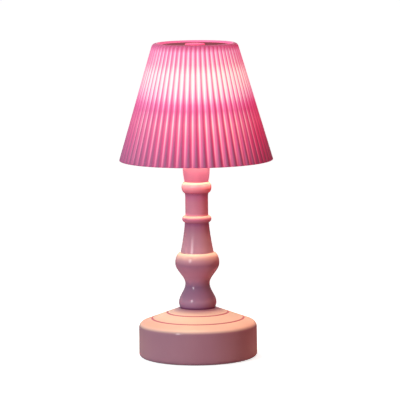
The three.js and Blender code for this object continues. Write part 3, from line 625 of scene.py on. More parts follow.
def bodyPlasticMaterial():  # glossy opaque plastic of the base and the stem, with painted light and shade by height, by facing and from side to side, and painted shade in the grooves
    look = bodyLook
    material, tree, shader = newMaterial("bodyPlastic")
    place = tree.split(tree.place())
    topHeight = look["side"][-1][0]
    rise = tree.math("DIVIDE", place["Z"], topHeight * mm, clamp=True)
    side, paintedLampLight = (
        rampUp(tree, rise, [(height / topHeight, tint) for height, tint in look[way]])
        for way in ("side", "paintedLampLight")
    )
    # up-facing surfaces take the painted lamp light
    upward = tree.smooth(tree.split(tree.normal())["Z"], *look["upward"])
    across = tree.across(place)
    nearShoulder = tree.smooth(tree.spread(place), *look["nearShoulder"])
    paintedLampLightAround = tree.blend(nearShoulder, (1, 1, 1, 1), tree.ramp(across, look["paintedLampLightAround"]))
    # painted side light on the sides and, near the shoulder, on the painted lamp light
    around = tree.blend(upward, tree.ramp(across, look["paintedSideLight"]), paintedLampLightAround)
    tint = tree.blend(1.0, tree.blend(upward, side, paintedLampLight), around, "MULTIPLY")
    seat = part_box("base_shell")[1].z
    onDome = tree.between(place["Z"], baseShape["shoulderHeight"] * mm, seat - look["grooveTop"])
    # painted shade in the dome's two grooves, on the dome only
    for radius in baseShape["grooves"]:
        reach = tree.math("ABSOLUTE", tree.math("SUBTRACT", tree.spread(place), radius * mm))
        grooveShadeMask = tree.smooth(reach, *look["grooveEdge"], look["grooveShare"], 0.0)
        tint = tree.blend(tree.math("MULTIPLY", grooveShadeMask, onDome), tint, tone(*look["paintedGrooveShade"]))
    coatSkin(tree, shader, tint, look)
    return material


spiderLook = {  # the same plastic, in the shade's shadow and dull with dust
    "tint": (214, 136, 146),
    "finish": (0.5, 0.7, 0.3, 0.1),
    "shader": {"Specular IOR Level": 0},
}
pleats = {
    "count": 60,
    "crestAngle": -89.75,  # degrees from the X axis
    "topRadius": 27.5,  # where the cone would reach the top
    "openingRadius": 24.5,
    "wall": 1.2,
    "depth": 1.4,
    "shoulderRound": 3.0,
    "rimDepth": 1.2,
    "innerRound": 1.0,
    "lip": 0.5,
    "lipPoints": ((0.4, 0), (0.12, 0.2)),  # in from the foot's edge, and up
    "lipBend": 0.12,
    "rimEdge": 0.25,
    "innerDrop": 3,  # the plain inner wall starts this far below its round
    "innerLevels": 4,
    "innerEdge": (0.3, 0.4),  # at the foot: across, and up
    "crestSharpness": 1.1,
    "pointsPerPleat": 12,
    "levels": 6,
    "shoulderSteps": 6,
    "smoothAngle": 50,
}


innerLimit = -0.002  # of a face's outward lean times its radius, in metres


# Valley is 0 on a pleat's crest and 1 in the valley beside it, Inner is 1 on the wall's inner side,
# and Across goes from 0 at the shade's left to 1 at its right.
def pleatPhaseGroup():
    inputs = {"Count": 60.0, "Crest": 0.0}
    group, tree, given, result = newGroup("pleatPhase", inputs, ["Valley", "Inner", "Across"])
    place = tree.split(tree.place())
    turn = tree.math("SUBTRACT", tree.math("ARCTAN2", place["Y"], place["X"]), given["Crest"])
    pleat = tree.math("MULTIPLY", turn, tree.math("DIVIDE", given["Count"], 2 * math.pi))
    offset = tree.math("PINGPONG", tree.math("ABSOLUTE", pleat), 0.5)
    tree.feed(result["Valley"], tree.math("MULTIPLY", offset, 2.0, clamp=True))
    facing = tree.split(tree.normal())
    outward = tree.math("MULTIPLY", place["X"], facing["X"])
    outward = tree.math("MULTIPLY_ADD", place["Y"], facing["Y"], outward)
    tree.feed(result["Inner"], tree.math("LESS_THAN", outward, innerLimit))
    tree.feed(result["Across"], tree.across(place))
    return group


pleatPhase = pleatPhaseGroup()

shadeGlow = {  # light that comes through the wall, by height from the foot (0) to the rim (1)
    "crest": [
        (0.0, (0, 0, 0)), (0.07, (16, 0, 6)), (0.15, (70, 0, 30)), (0.23, (132, 10, 52)),
        (0.35, (171, 20, 60)), (0.457, (165, 8, 62)), (0.51, (194, 8, 84)), (0.6, (212, 86, 124)),
        (0.72, (222, 126, 138)), (0.84, (212, 78, 112)), (0.94, (206, 72, 112)), (0.975, (172, 40, 80)),
        (1.0, (150, 20, 60)),
    ],
    "flank": [
        (0.0, (124, 0, 56)), (0.07, (154, 25, 70)), (0.15, (190, 30, 85)), (0.23, (208, 44, 92)),
        (0.35, (226, 92, 120)), (0.42, (222, 78, 118)), (0.457, (216, 58, 114)), (0.51, (222, 90, 140)),
        (0.58, (236, 180, 194)), (0.65, (246, 222, 212)), (0.76, (250, 232, 218)), (0.84, (226, 160, 170)),
        (0.94, (218, 138, 166)), (0.975, (185, 66, 105)), (1.0, (150, 20, 60)),
    ],
    "valley": [
        (0.0, (180, 79, 97)), (0.07, (216, 110, 126)), (0.15, (236, 139, 152)), (0.23, (236, 164, 166)),
        (0.35, (242, 208, 196)), (0.42, (240, 196, 196)), (0.46, (228, 140, 166)), (0.51, (238, 182, 202)),
        (0.57, (255, 250, 232)), (0.8, (255, 253, 224)), (0.86, (250, 232, 222)), (0.94, (236, 206, 214)),
        (0.975, (206, 104, 136)), (1.0, (150, 20, 60)),
    ],
    "inner": [
        (0.0, (206, 60, 92)), (0.3, (250, 130, 140)), (0.6, (255, 190, 180)), (0.93, (224, 102, 140)),
    ],
    "sides": [  # the light stands nearer the left, so the right wall is dimmer and redder
        (0.0, (0.6, 0.7, 0.78, 1)), (0.06, (0.64, 0.68, 0.78, 1)), (0.13, (0.68, 0.6, 0.76, 1)),
        (0.3, (1, 1, 1, 1)), (0.66, (1, 1, 1, 1)), (0.78, (0.95, 0.92, 0.93, 1)),
        (0.875, (0.8, 0.52, 0.68, 1)), (0.96, (0.72, 0.28, 0.5, 1)), (1.0, (0.7, 0.24, 0.46, 1)),
    ],
    "sidesFade": (0.1, 0.78, 1.0, 0.28),  # from full at the first height to little at the second
    "crestToFlank": (0.12, 0.56),
    "flankToValley": (0.62, 0.96),
    "surface": (168, 104, 140),
    "finish": (0.2, 0.4, 0.1, 0.03),
    "shader": {"Specular IOR Level": 0.1, "Emission Strength": 1},
}


def shadePlasticMaterial():  # translucent plastic lit from inside: bright valleys, deep crests
    look = shadeGlow
    material, tree, shader = newMaterial("shadePlastic")
    height = heightShare(tree, "shade")
    turn = math.radians(pleats["crestAngle"])
    phase = placeGroup(tree, pleatPhase, Count=float(pleats["count"]), Crest=turn)
    crest, flank, valley, inner = (
        rampUp(tree, height, look[part]) for part in ("crest", "flank", "valley", "inner")
    )
    light = tree.blend(tree.smooth(phase["Valley"], *look["crestToFlank"]), crest, flank)
    light = tree.blend(tree.smooth(phase["Valley"], *look["flankToValley"]), light, valley)
    light = tree.blend(phase["Inner"], light, inner)
    fade = tree.smooth(height, *look["sidesFade"])
    light = tree.blend(fade, light, tree.ramp(phase["Across"], look["sides"]), "MULTIPLY")
    tree.feed(shader.inputs["Emission Color"], light)
    coatSkin(tree, shader, tone(*look["surface"]), look)
    return material


holderGlow = {  # the sleeve carries light down from the bulb
    "stops": [
        (0.0, (90, 24, 44)), (0.12, (118, 42, 68)), (0.3, (118, 80, 97)), (0.38, (150, 112, 114)),
        (0.6, (204, 118, 128)),
    ],
    "surface": (193, 113, 132),
    "finish": (0.2, 0.35, 0.1, 0.04),
    "shader": {"Emission Strength": 1},
}
bulbGlow = {  # frosted, brightest over the light, with a pink tip
    "stops": [
        (0.0, (255, 196, 176)), (0.35, (255, 236, 222)), (0.8, (255, 170, 170)), (0.93, (255, 80, 128)),
        (1.0, (255, 56, 116)),
    ],
    "surface": (226, 96, 122),
    "finish": (0.2, 0.5, 0.1, 0.1),
    "shader": {"Emission Strength": 1},
}
cellLook = {
    "wrap": (64, 132, 122),
    "band": (40, 44, 48),
    "bandReach": (0.011, 0.0165),
    "steel": (200, 200, 196),
    "endFace": 0.75,  # steel where the normal points along the cell by more than this
    "finish": (0.3, 0.32, 0.15, 0.05),
}


def cellWrapMaterial():  # printed sleeve with a plain dark band, and bare steel on the end faces
    look = cellLook
    material, tree, shader = newMaterial("cellWrap")
    along = tree.math("ABSOLUTE", tree.split(tree.place())["X"])
    facing = tree.math("ABSOLUTE", tree.split(tree.normal())["X"])
    bare = tree.math("GREATER_THAN", facing, look["endFace"])
    tint = tree.blend(tree.between(along, *look["bandReach"]), tone(*look["wrap"]), tone(*look["band"]))
    coatSkin(tree, shader, tree.blend(bare, tint, tone(*look["steel"])), look)
    tree.feed(shader.inputs["Metallic"], bare)
    return material


materials = {
    "body_plastic": bodyPlasticMaterial(),
    "shade_plastic": shadePlasticMaterial(),
    "holder_plastic": glowingPlastic("holderPlastic", "lamp_holder", holderGlow),
    "bulb_frosted": glowingPlastic("bulbFrosted", "bulb", bulbGlow),
    "foot_rubber": plasticLike("footRubber", (44, 40, 42), (0.6, 0.75, 0.3, 0.4)),
    "screw_steel": metalLike("screwSteel", (196, 198, 200), 0.26),
    "contact_steel": metalLike("contactSteel", (206, 202, 192), 0.2),
    "cell_wrap": cellWrapMaterial(),
    "switch_tin": metalLike("switchTin", (176, 178, 180), 0.34),
    "knob_black": plasticLike("knobBlack", (34, 34, 36), (0.4, 0.45, 0.2, 0.1)),
    "lead_red": plasticLike("leadRed", (190, 32, 40)),
    "lead_black": plasticLike("leadBlack", (26, 26, 28)),
    "board_white": plasticLike("boardWhite", (238, 238, 230)),
    "emitter_yellow": plasticLike("emitterYellow", (245, 208, 96), (0.3, 0.3, 0.2, 0.1)),
    "resistor_black": plasticLike("resistorBlack", (28, 28, 30)),
}
spiderPlastic = plasticLike("spiderPlastic", **spiderLook)
slotOf = {entry["node"]: entry["material_slot"] for entry in frame["record"]["subparts"]}
for name, node in frame["nodes"].items():
    node.data.materials.clear()
    node.data.materials.append(materials[slotOf[name]])
print("materials made")


def dress(piece, body, *nodes):  # the piece stands for these nodes, and takes their finish
    slot = slotOf[nodes[0]]
    piece.data.materials.clear()
    piece.data.materials.append(materials[slot])
    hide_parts(*nodes)
    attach(piece, body)


# Base shell: one turned wall with bosses for the cover's screws, and holes for the stem's.
def baseOutline():
    shape = baseShape
    low, high = boxOf("base_shell")
    radius, foot, seat = high.x, low.z, high.z
    seatRadius, wall, bore = shape["seatRadius"], shape["wall"], shape["bore"]
    inner = radius - wall
    side = (radius, foot)
    top = (radius - shape["draft"], shape["shoulderHeight"])
    slope = (seat - top[1]) / (top[0] - seatRadius)
    drop = wall * math.hypot(1, slope)

    def dome(spread):
        return seat - slope * (spread - seatRadius)

    edge = roundCorner((0, foot), side, top, shape["edgeRound"], steps=12)
    edge = [point for point in edge if point[0] > inner]
    grooves = []
    for middle in shape["grooves"]:
        for share, depth in shape["grooveProfile"]:
            spread = middle + share * shape["grooveWidth"] / 2
            grooves.append((spread, dome(spread) - depth))
    padFoot = seat - shape["seatPad"]
    return (
        [(inner, edge[0][1] - shape["innerDrop"])]
        + edge
        + roundCorner(side, top, (seatRadius, seat), shape["shoulderRound"], steps=10)
        + grooves
        + roundCorner(top, (seatRadius, seat), (0, seat), shape["seatRound"])
        + [(bore, seat), (bore, padFoot), (seatRadius, padFoot)]
        + [(seatRadius, dome(seatRadius) - drop), (inner, dome(inner) - drop)]
    )


def makeBaseShell():
    shape = baseShape
    shell = turnPiece("baseShell", baseOutline(), shape["sides"])
    corners = middlesOf("cover_screw", 4)
    radius, top = shape["pilotRadius"], heightsOf("base_shell")[1] + overcut
    combine(shell, [pin("boss", *shape["boss"], at) for at in corners], "UNION")
    pilots = [pin("pilot", radius, 0, shape["pilotTop"], at) for at in corners]
    pilots += [pin("pilot", radius, shape["stemPilotFoot"], top, at) for at in middlesOf("stem_screw", 3)]
    combine(shell, pilots, "DIFFERENCE")
    smoothSkin(shell)
    return shell


dress(makeBaseShell(), "lamp", "base_shell")
mouldedEdge = 0.15
dress(softenedCopy("bottom_cover", "bottomCover", mouldedEdge), "lamp", "bottom_cover")
dress(softenedCopy("battery_door", "batteryDoor", mouldedEdge), "battery_door", "battery_door")
print("base dressed")


# Feet, screws and knob
footShape = {
    "topRadius": 3.5,
    "footRadius": 3.1,
    "height": 1.5,
    "dimple": 1.4,
    "dimpleSlope": 0.3,
    "dimpleDepth": 0.25,
    "footRound": 0.3,
    "topRound": 0.15,
    "sides": 40,
}


def makeFoot():
    shape = footShape
    dimple, depth = shape["dimple"], shape["dimpleDepth"]
    low, high = (shape["footRadius"], 0), (shape["topRadius"], shape["height"])
    top = (0, shape["height"])
    outline = (
        [(0, depth), (dimple - shape["dimpleSlope"], depth), (dimple, 0)]
        + roundCorner((0, 0), low, high, shape["footRound"])
        + roundCorner(low, high, top, shape["topRound"], steps=2)
        + [top]
    )
    return turnPiece("rubberFoot", outline, shape["sides"])


foot = makeFoot()
for i, at in enumerate(middlesOf("rubber_foot", 4), 1):
    dress(ownCopy(foot, f"rubberFoot{i}", moved(at.x, at.y)), "lamp", f"rubber_foot_{i}")
bpy.data.objects.remove(foot)

screwShape = {
    "headRadius": 2.3,
    "headHeight": 1.5,
    "headRound": 0.6,
    "sinkDepth": 1.1,
    "shaftRadius": 1,
    "tip": (0.5, 0.6),  # radius and length
    "recessReach": 1.25,
    "recessWidth": 0.55,
    "recessDepth": 0.9,
    "recessTaper": 0.6,
    "sides": 32,
}


def crossTools():  # two short bars, crossed, that cut the driver's recess
    shape = screwShape
    sides = (2 * shape["recessReach"], shape["recessWidth"], 2 * shape["recessDepth"])
    narrower = (shape["recessTaper"], shape["recessTaper"], 1)
    bars = []
    for turn in (0, math.pi / 2):
        bar = makeBar(sides, (0, 0, 0), turn)
        changeFace(bar, "z", lambda: bpy.ops.transform.resize(value=narrower, center_override=(0, 0, 0)))
        bars.append(bar)
    return bars


def makeScrew(name, head, top):
    shape = screwShape
    tipRadius, tipLength = shape["tip"]
    outline = [(0, 0)] + head + [(shape["shaftRadius"], top - tipLength), (tipRadius, top), (0, top)]
    screw = turnPiece(name, outline, shape["sides"])
    combine(screw, crossTools(), "DIFFERENCE")
    smoothSkin(screw)
    return screw


def makePanScrew(length):
    shape = screwShape
    wide, high = shape["headRadius"], shape["headHeight"]
    head = roundCorner((0, 0), (wide, 0), (wide, high), shape["headRound"], steps=4)
    return makeScrew("panScrew", head + [(wide, high), (shape["shaftRadius"], high)], length)


def makeSunkScrew(length):
    shape = screwShape
    head = [(shape["headRadius"], 0), (shape["shaftRadius"], shape["sinkDepth"])]
    return makeScrew("doorScrew", head, length)


for kind, count in (("cover", 4), ("stem", 3)):
    low, high = heightsOf(f"{kind}_screw_1")
    panScrew = makePanScrew(high - low)
    for i, at in enumerate(middlesOf(f"{kind}_screw", count), 1):
        screw = ownCopy(panScrew, f"{kind}Screw{i}", moved(at.x, at.y, low))
        dress(screw, "lamp", f"{kind}_screw_{i}")
    bpy.data.objects.remove(panScrew)

low, high = heightsOf("door_screw")
doorScrew = makeSunkScrew(high - low)
doorScrew.data.transform(moved(middleOf("door_screw").x, 0, low))
dress(doorScrew, "battery_door", "door_screw")
dress(softenedCopy("switch_knob", "switchKnob", mouldedEdge), "switch_knob", "switch_knob")
print("feet, screws and knob made")


# Cells and springs
cellShape = {
    "radius": 5.25,
    "length": 44.5,
    "nub": 2.2,
    "nubHeight": 1,
    "nubRound": 0.3,
    "rim": 0.6,
    "minusGroove": ((0.62, 0), (0.68, 0.2), (0.76, 0.2), (0.82, 0)),  # share of the radius, and depth
    "plusGroove": (0.8, 0.76, 0.3),  # shares of the radius, and depth
    "nubFoot": 0.5,
    "sides": 48,
}
springShape = {"wire": 0.35, "footRadius": 3.3, "headRadius": 2.4, "turns": 3.5, "stepsPerTurn": 28}


def makeCell():  # standing on its minus end
    shape = cellShape
    radius, nub, top = shape["radius"], shape["nub"], shape["length"]
    can = top - shape["nubHeight"]
    edge, foot, depth = shape["plusGroove"]
    outline = (
        [(0, 0)]
        + [(radius * share, height) for share, height in shape["minusGroove"]]
        + roundCorner((0, 0), (radius, 0), (radius, can), shape["rim"], steps=4)
        + roundCorner((radius, 0), (radius, can), (0, can), shape["rim"], steps=4)
        + [(radius * edge, can), (radius * foot, can - depth)]
        + [(nub + shape["nubFoot"], can - depth), (nub, can)]
        + roundCorner((nub, can), (nub, top), (0, top), shape["nubRound"])
        + [(0, top)]
    )
    return turnPiece("cell", outline, shape["sides"])


def springPoints():  # along X from its foot, about the X axis
    shape = springShape
    low, high = boxOf("battery_spring_1")
    length = high.x - low.x
    steps = round(shape["turns"] * shape["stepsPerTurn"])
    points = []
    for i in range(steps + 1):
        share = i / steps
        turn = 2 * math.pi * shape["turns"] * share
        radius = mix(shape["footRadius"], shape["headRadius"], share)
        rise = mix(shape["wire"], length - shape["wire"], share)
        points.append((rise, radius * math.cos(turn), radius * math.sin(turn)))
    return points


layDown = Matrix.Rotation(math.pi / 2, 4, "Y")
turnRound = Matrix.Rotation(math.pi, 4, "Z")
cell = makeCell()
spring = wirePiece("batterySpring", springPoints(), springShape["wire"])
for i in range(1, 4):
    low, high = boxOf(f"battery_{i}")
    at = (low + high) / 2
    springLow, springHigh = boxOf(f"battery_spring_{i}")
    plusEnd = 1 if springLow.x < 0 else -1  # the spring presses on the minus end
    startX = low.x if plusEnd > 0 else high.x
    turned = Matrix.Identity(4) if plusEnd > 0 else turnRound
    dress(ownCopy(cell, f"cell{i}", moved(startX, at.y, at.z) @ turned @ layDown), "lamp", f"battery_{i}")
    startX = springLow.x if plusEnd > 0 else springHigh.x
    springPlace = moved(startX, at.y, at.z) @ turned
    dress(ownCopy(spring, f"batterySpring{i}", springPlace), "lamp", f"battery_spring_{i}")
bpy.data.objects.remove(cell)
bpy.data.objects.remove(spring)
contactEdge = 0.08
contactNames = {
    "plus_contact": "plusContact",
    "minus_contact": "minusContact",
    "link_contact_left": "linkContactLeft",
    "link_contact_right": "linkContactRight",
}
for node, name in contactNames.items():
    dress(softenedCopy(node, name, contactEdge), "lamp", node)
print("cells and springs made")


# Stem: vase, column and collar
vaseShape = {
    "footRadius": 11.3,
    "bends": ((12.25, 3.4), (7.95, 15.7), (14.4, 29.2)),  # radius, and height above the foot
    "topRadius": 10.95,
    "socketRadius": 6.3,
    "socketDepth": 8.3,
    "pilotGap": 0.3,  # beyond a screw's end
    "sides": 96,
}
columnShape = {
    "spigotRadius": 6,
    "coneFoot": 10.8,
    "coneHeight": 19.5,
    "coneBend": (0.35, 0.52),  # shares of its width and height
    "coneGap": 0.4,  # its top is this much wider than the column
    "beadTube": 2.45,
    "beadReach": 9.55,
    "beadArc": (0.1, 0.9),
    "radius": 7.45,
    "flare": 0.3,
    "flareHeight": 2.2,
    "socketRadius": 5.3,
    "socketDepth": 7.3,
    "sides": 96,
}
collarShape = {"neck": 7.5, "socketRadius": 5.3, "sides": 96}


def makeVase():
    shape = vaseShape
    foot, top = heightsOf("stem_vase")
    bulge, neck, belly = ((radius, foot + up) for radius, up in shape["bends"])
    bore, socket, socketFoot = baseShape["bore"], shape["socketRadius"], top - shape["socketDepth"]
    outline = (
        flare((shape["footRadius"], foot), bulge, steps=5)
        + sCurve(bulge, neck, steps=14)[1:]
        + sCurve(neck, belly, steps=14)[1:]
        + closeIn(belly, (shape["topRadius"], top), steps=10)[1:]
        + [(socket, top), (socket, socketFoot), (bore, socketFoot), (bore, foot)]
    )
    vase = turnPiece("stemVase", outline, shape["sides"])
    pilotTop = heightsOf("stem_screw_1")[1] + shape["pilotGap"]
    pilot = (baseShape["pilotRadius"], foot - overcut, pilotTop)
    combine(vase, [pin("pilot", *pilot, at) for at in middlesOf("stem_screw", 3)], "DIFFERENCE")
    smoothSkin(vase)
    return vase


def makeColumn():
    shape = columnShape
    low, top = heightsOf("stem_column")
    foot = heightsOf("stem_vase")[1]
    coneTop = foot + shape["coneHeight"]
    tube, radius = shape["beadTube"], shape["radius"]
    beadMiddle = coneTop + tube
    flareFoot = top - shape["flareHeight"]
    start = Vector((shape["coneFoot"], foot))
    bend = Vector((mix(radius, start.x, shape["coneBend"][0]), mix(foot, coneTop, shape["coneBend"][1])))
    end = Vector((radius + shape["coneGap"], coneTop))
    bore, spigot = baseShape["bore"], shape["spigotRadius"]
    socket, socketFoot = shape["socketRadius"], top - shape["socketDepth"]
    outline = (
        [(bore, low), (spigot, low), (spigot, foot)]
        + curvePoints(12, lambda t: tuple(start.lerp(bend, t).lerp(bend.lerp(end, t), t)))
        + ringSide(shape["beadReach"] - tube, shape["beadReach"], beadMiddle, tube, 14, shape["beadArc"])
        + [(radius, beadMiddle + tube), (radius, flareFoot)]
        + curvePoints(4, lambda t: (radius + shape["flare"] * t * t, mix(flareFoot, top, t)))[1:]
        + [(socket, top), (socket, socketFoot), (bore, socketFoot)]
    )
    return turnPiece("stemColumn", outline, shape["sides"])


def makeCollar():
    shape = collarShape
    low, high = boxOf("stem_collar")
    middle, half, socket = (low.z + high.z) / 2, (high.z - low.z) / 2, shape["socketRadius"]
    outline = [(socket, low.z)] + ringSide(shape["neck"], high.x, middle, half, 18) + [(socket, high.z)]
    return turnPiece("stemCollar", outline, shape["sides"])


dress(makeVase(), "lamp", "stem_vase")
dress(makeColumn(), "lamp", "stem_column")
dress(makeCollar(), "lamp", "stem_collar")
print("stem made")


# Lamp holder and bulb
holderShape = {
    "spigotRadius": 5,
    "footRadius": 7.8,
    "curveHeight": 8,
    "radius": 8.8,
    "wall": 1.4,
    "cupWall": 1.3,
    "cupHeight": 9.2,  # flare and rim together
    "flareHeight": 6,
    "ledge": 1.8,
    "sides": 72,
}
bulbShape = {
    "wall": 1.3,
    "skirtRadius": 12.4,
    "radius": 13,
    "flange": 1.4,
    "cylinder": 20,
    "shoulderRadius": 9,
    "shoulderDrop": 1.9,  # from the tip's top to the shoulder
    "tipRadius": 6.5,
    "tipRound": 0.9,
    "sides": 72,
}


def makeHolder():
    shape = holderShape
    low, high = boxOf("lamp_holder")
    foot = heightsOf("stem_collar")[1]
    cup, rim = high.x, high.z
    cupFoot = rim - shape["cupHeight"]
    ledge = cupFoot + shape["flareHeight"]
    radius, wall, bore, spigot = shape["radius"], shape["wall"], baseShape["bore"], shape["spigotRadius"]
    cupInside, inside = cup - shape["cupWall"], radius - wall
    outline = (
        flare((shape["footRadius"], foot), (radius, foot + shape["curveHeight"]), steps=8)
        + [(radius, cupFoot)]
        + sCurve((radius, cupFoot), (cup, ledge), steps=10)[1:]
        + [(cup, rim), (cupInside, rim), (cupInside, ledge), (cupInside - shape["ledge"], ledge)]
        + [(inside, cupFoot - wall), (inside, foot + shape["curveHeight"] / 2), (bore, foot + wall)]
        + [(bore, low.z), (spigot, low.z), (spigot, foot)]
    )
    return turnPiece("lampHolder", outline, shape["sides"])


def makeBulb():
    shape = bulbShape
    low, high = boxOf("bulb")
    rim, top = heightsOf("lamp_holder")[1], high.z
    wall, skirt, radius, tip = shape["wall"], shape["skirtRadius"], shape["radius"], shape["tipRadius"]
    shoulder = (shape["shoulderRadius"], top - shape["shoulderDrop"])

    def dome(steps, wall):  # the inner dome comes down from the outer one towards its top
        arc = closeIn((radius, rim + shape["cylinder"]), shoulder, steps)
        return [(spread - wall, height - wall * i / steps) for i, (spread, height) in enumerate(arc)]

    outside = (
        [(skirt, low.z), (skirt, rim), (high.x, rim), (radius, rim + shape["flange"])]
        + dome(14, 0)
        + [(tip, shoulder[1])]
        + roundCorner((tip, shoulder[1]), (tip, top), (0, top), shape["tipRound"], steps=6)
        + [(0, top)]
    )
    inside = (
        [(0, top - wall), (tip - wall, top - wall), (tip - wall, shoulder[1] - wall)]
        + dome(8, wall)[::-1]
        + [(skirt - wall, rim), (skirt - wall, low.z)]
    )
    return turnPiece("frostedBulb", outside + inside, shape["sides"])


dress(makeHolder(), "lamp", "lamp_holder")
dress(makeBulb(), "lamp", "bulb")
print("holder and bulb made")


# Shade: pleats drawn up a cone, over a smooth inner wall. It sits on a spider.
def shadeFace():
    low, high = boxOf("shade")
    foot, top = low.z, high.z
    footRadius = max(abs(low.y), high.x)
    slope = (footRadius - pleats["topRadius"]) / (top - foot)
    across = pleats["wall"] * math.hypot(1, slope)

    def crest(height):
        return footRadius - slope * (height - foot)

    def inner(height):
        return crest(height) * (1 - pleats["depth"] / footRadius) - across

    return foot, top, footRadius, crest, inner


# The pleated outside, with each level's share of the pleat's depth, then the inside
def shadeOutline():
    foot, top, footRadius, crest, inner = shadeFace()
    opening, ceiling, edge = pleats["openingRadius"], top - pleats["rimDepth"], pleats["rimEdge"]
    steps = pleats["shoulderSteps"]
    shoulder = roundCorner(
        (footRadius, foot), (pleats["topRadius"], top), (opening, top), pleats["shoulderRound"], steps
    )
    wallFoot = foot + pleats["lip"]
    heights = [mix(wallFoot, shoulder[0][1], i / pleats["levels"]) for i in range(pleats["levels"])]
    wall = [(crest(height), height, 1.0) for height in heights]
    fading = [(radius, height, 1 - i / steps) for i, (radius, height) in enumerate(shoulder)]
    lip = [(crest(foot) - inset, foot + rise, 0) for inset, rise in pleats["lipPoints"]]
    lip.append((crest(wallFoot), wallFoot - pleats["lipBend"], 0))
    across, rise = pleats["innerEdge"]
    corner = (inner(ceiling), ceiling)
    innerTop, levels = ceiling - pleats["innerDrop"], pleats["innerLevels"]
    innerHeights = curvePoints(levels, lambda t: mix(innerTop, foot + rise, t))
    inside = (
        [(opening + edge, top), (opening, top - edge), (opening, ceiling)]
        + roundCorner((opening, ceiling), corner, (inner(foot), foot), pleats["innerRound"])
        + [(inner(height), height) for height in innerHeights]
        + [(inner(foot) + across, foot)]
    )
    return lip + wall + fading, inside


sameRing = 1e-5  # metres between a point and the ring that it belongs to


def pleatDrop(share):  # 0 on the crest to 1 in the valley, with narrow crests and wide valleys
    return 1 - ((1 + math.cos(2 * math.pi * share)) / 2) ** pleats["crestSharpness"]


def drawInPleats(piece, levels):  # pulls each ring's points in by where they lie between two crests
    footRadius = shadeFace()[2]
    count = pleats["pointsPerPleat"]
    pitch = 2 * math.pi / pleats["count"]
    for share in sorted({level[2] for level in levels if level[2] > 0}):
        rings = [level for level in levels if level[2] == share]
        for step in range(1, count // 2 + 1):
            mesh = bmesh.from_edit_mesh(piece.data)
            for vertex in mesh.verts:
                turn = math.atan2(vertex.co.y, vertex.co.x) - math.radians(pleats["crestAngle"])
                phase = round(turn / pitch * count) % count
                spread = vertex.co.xy.length
                vertex.select = min(phase, count - phase) == step and any(
                    abs(vertex.co.z - height * mm) < sameRing and abs(spread - radius * mm) < sameRing
                    for radius, height, depth in rings
                )
            mesh.select_flush_mode()
            bmesh.update_edit_mesh(piece.data)
            factor = 1 - pleats["depth"] / footRadius * share * pleatDrop(step / count)
            bpy.ops.transform.resize(value=(factor, factor, 1), center_override=(0, 0, 0))


def makeShade():
    levels, inside = shadeOutline()
    outline = [(radius, height) for radius, height, depth in levels] + inside
    sides = pleats["count"] * pleats["pointsPerPleat"]
    piece = startRing("pleatedShade", outline, sides, math.radians(pleats["crestAngle"]))
    growRings(outline + [outline[0]])
    bpy.ops.mesh.select_all(action="SELECT")
    bpy.ops.mesh.remove_doubles(threshold=mergeDistance)
    bpy.ops.mesh.select_mode(type="VERT")
    drawInPleats(piece, levels)
    closeSkin()
    smoothSkin(piece, pleats["smoothAngle"])
    return piece


spiderShape = {
    "hubRadius": 22,
    "hubDrop": 0.5,
    "hubThickness": 1.0,
    "hubEdge": 0.6,
    "hubTaper": 0.5,
    "hubRound": 0.4,
    "hole": 6.8,
    "holeEdge": 0.2,
    "ringHeight": 4.5,
    "ringWall": 1.8,
    "ringGap": 0.3,
    "armCount": 3,
    "armAngle": -90,
    "armWidth": 4,
    "armThickness": 1.8,
    "armLap": 2,  # into the hub
    "armDrop": 0.3,  # below the hub's and the ring's top
    "sides": 96,
}


def makeArm(start, end):  # from the hub down to the ring, by the (radius, height) of its top's ends
    shape = spiderShape
    thickness = shape["armThickness"]
    middle = ((start[0] + end[0]) / 2, 0, start[1] - thickness / 2)
    arm = makeBar((end[0] - start[0], shape["armWidth"], thickness), middle)
    drop = (0, 0, (end[1] - start[1]) * mm)
    changeFace(arm, "x", lambda: bpy.ops.transform.translate(value=drop))
    return arm


def makeSpider():
    shape = spiderShape
    inner = shadeFace()[-1]
    low, high = boxOf("shade_spider")
    hubTop, hub, hole = high.z - shape["hubDrop"], shape["hubRadius"], shape["hole"]
    hubFoot, ringFoot = hubTop - shape["hubThickness"], low.z
    ringTop = ringFoot + shape["ringHeight"]
    edge, holeEdge, ringWall = shape["hubEdge"], shape["holeEdge"], shape["ringWall"]
    hubOutline = (
        [(hole, hubFoot), (hub - edge, hubFoot), (hub, hubFoot + edge)]
        + roundCorner((hub, hubFoot), (hub - shape["hubTaper"], hubTop), (0, hubTop), shape["hubRound"])
        + [(hole + holeEdge, hubTop), (hole, hubTop - holeEdge)]
    )
    spider = turnPiece("shadeSpider", hubOutline, shape["sides"])
    foot, top = inner(ringFoot) - shape["ringGap"], inner(ringTop) - shape["ringGap"]
    ringOutline = [(foot - ringWall, ringFoot), (foot, ringFoot), (top, ringTop), (top - ringWall, ringTop)]
    ring = turnPiece("ring", ringOutline, shape["sides"])
    drop = shape["armDrop"]
    arm = makeArm((hub - shape["armLap"], hubTop - drop), (top - ringWall / 2, ringTop - drop))
    arms = []
    for i in range(shape["armCount"]):
        turn = math.radians(shape["armAngle"] + 360 * i / shape["armCount"])
        arms.append(ownCopy(arm, "arm", Matrix.Rotation(turn, 4, "Z")))
    bpy.data.objects.remove(arm)
    combine(spider, [ring] + arms, "UNION")
    smoothSkin(spider)
    return spider


shade = makeShade()
dress(shade, "shade", "shade")
spider = makeSpider()
dress(spider, "shade", "shade_spider")
spider.data.materials[0] = spiderPlastic
print("shade pleated,", len(shade.data.polygons), "faces")


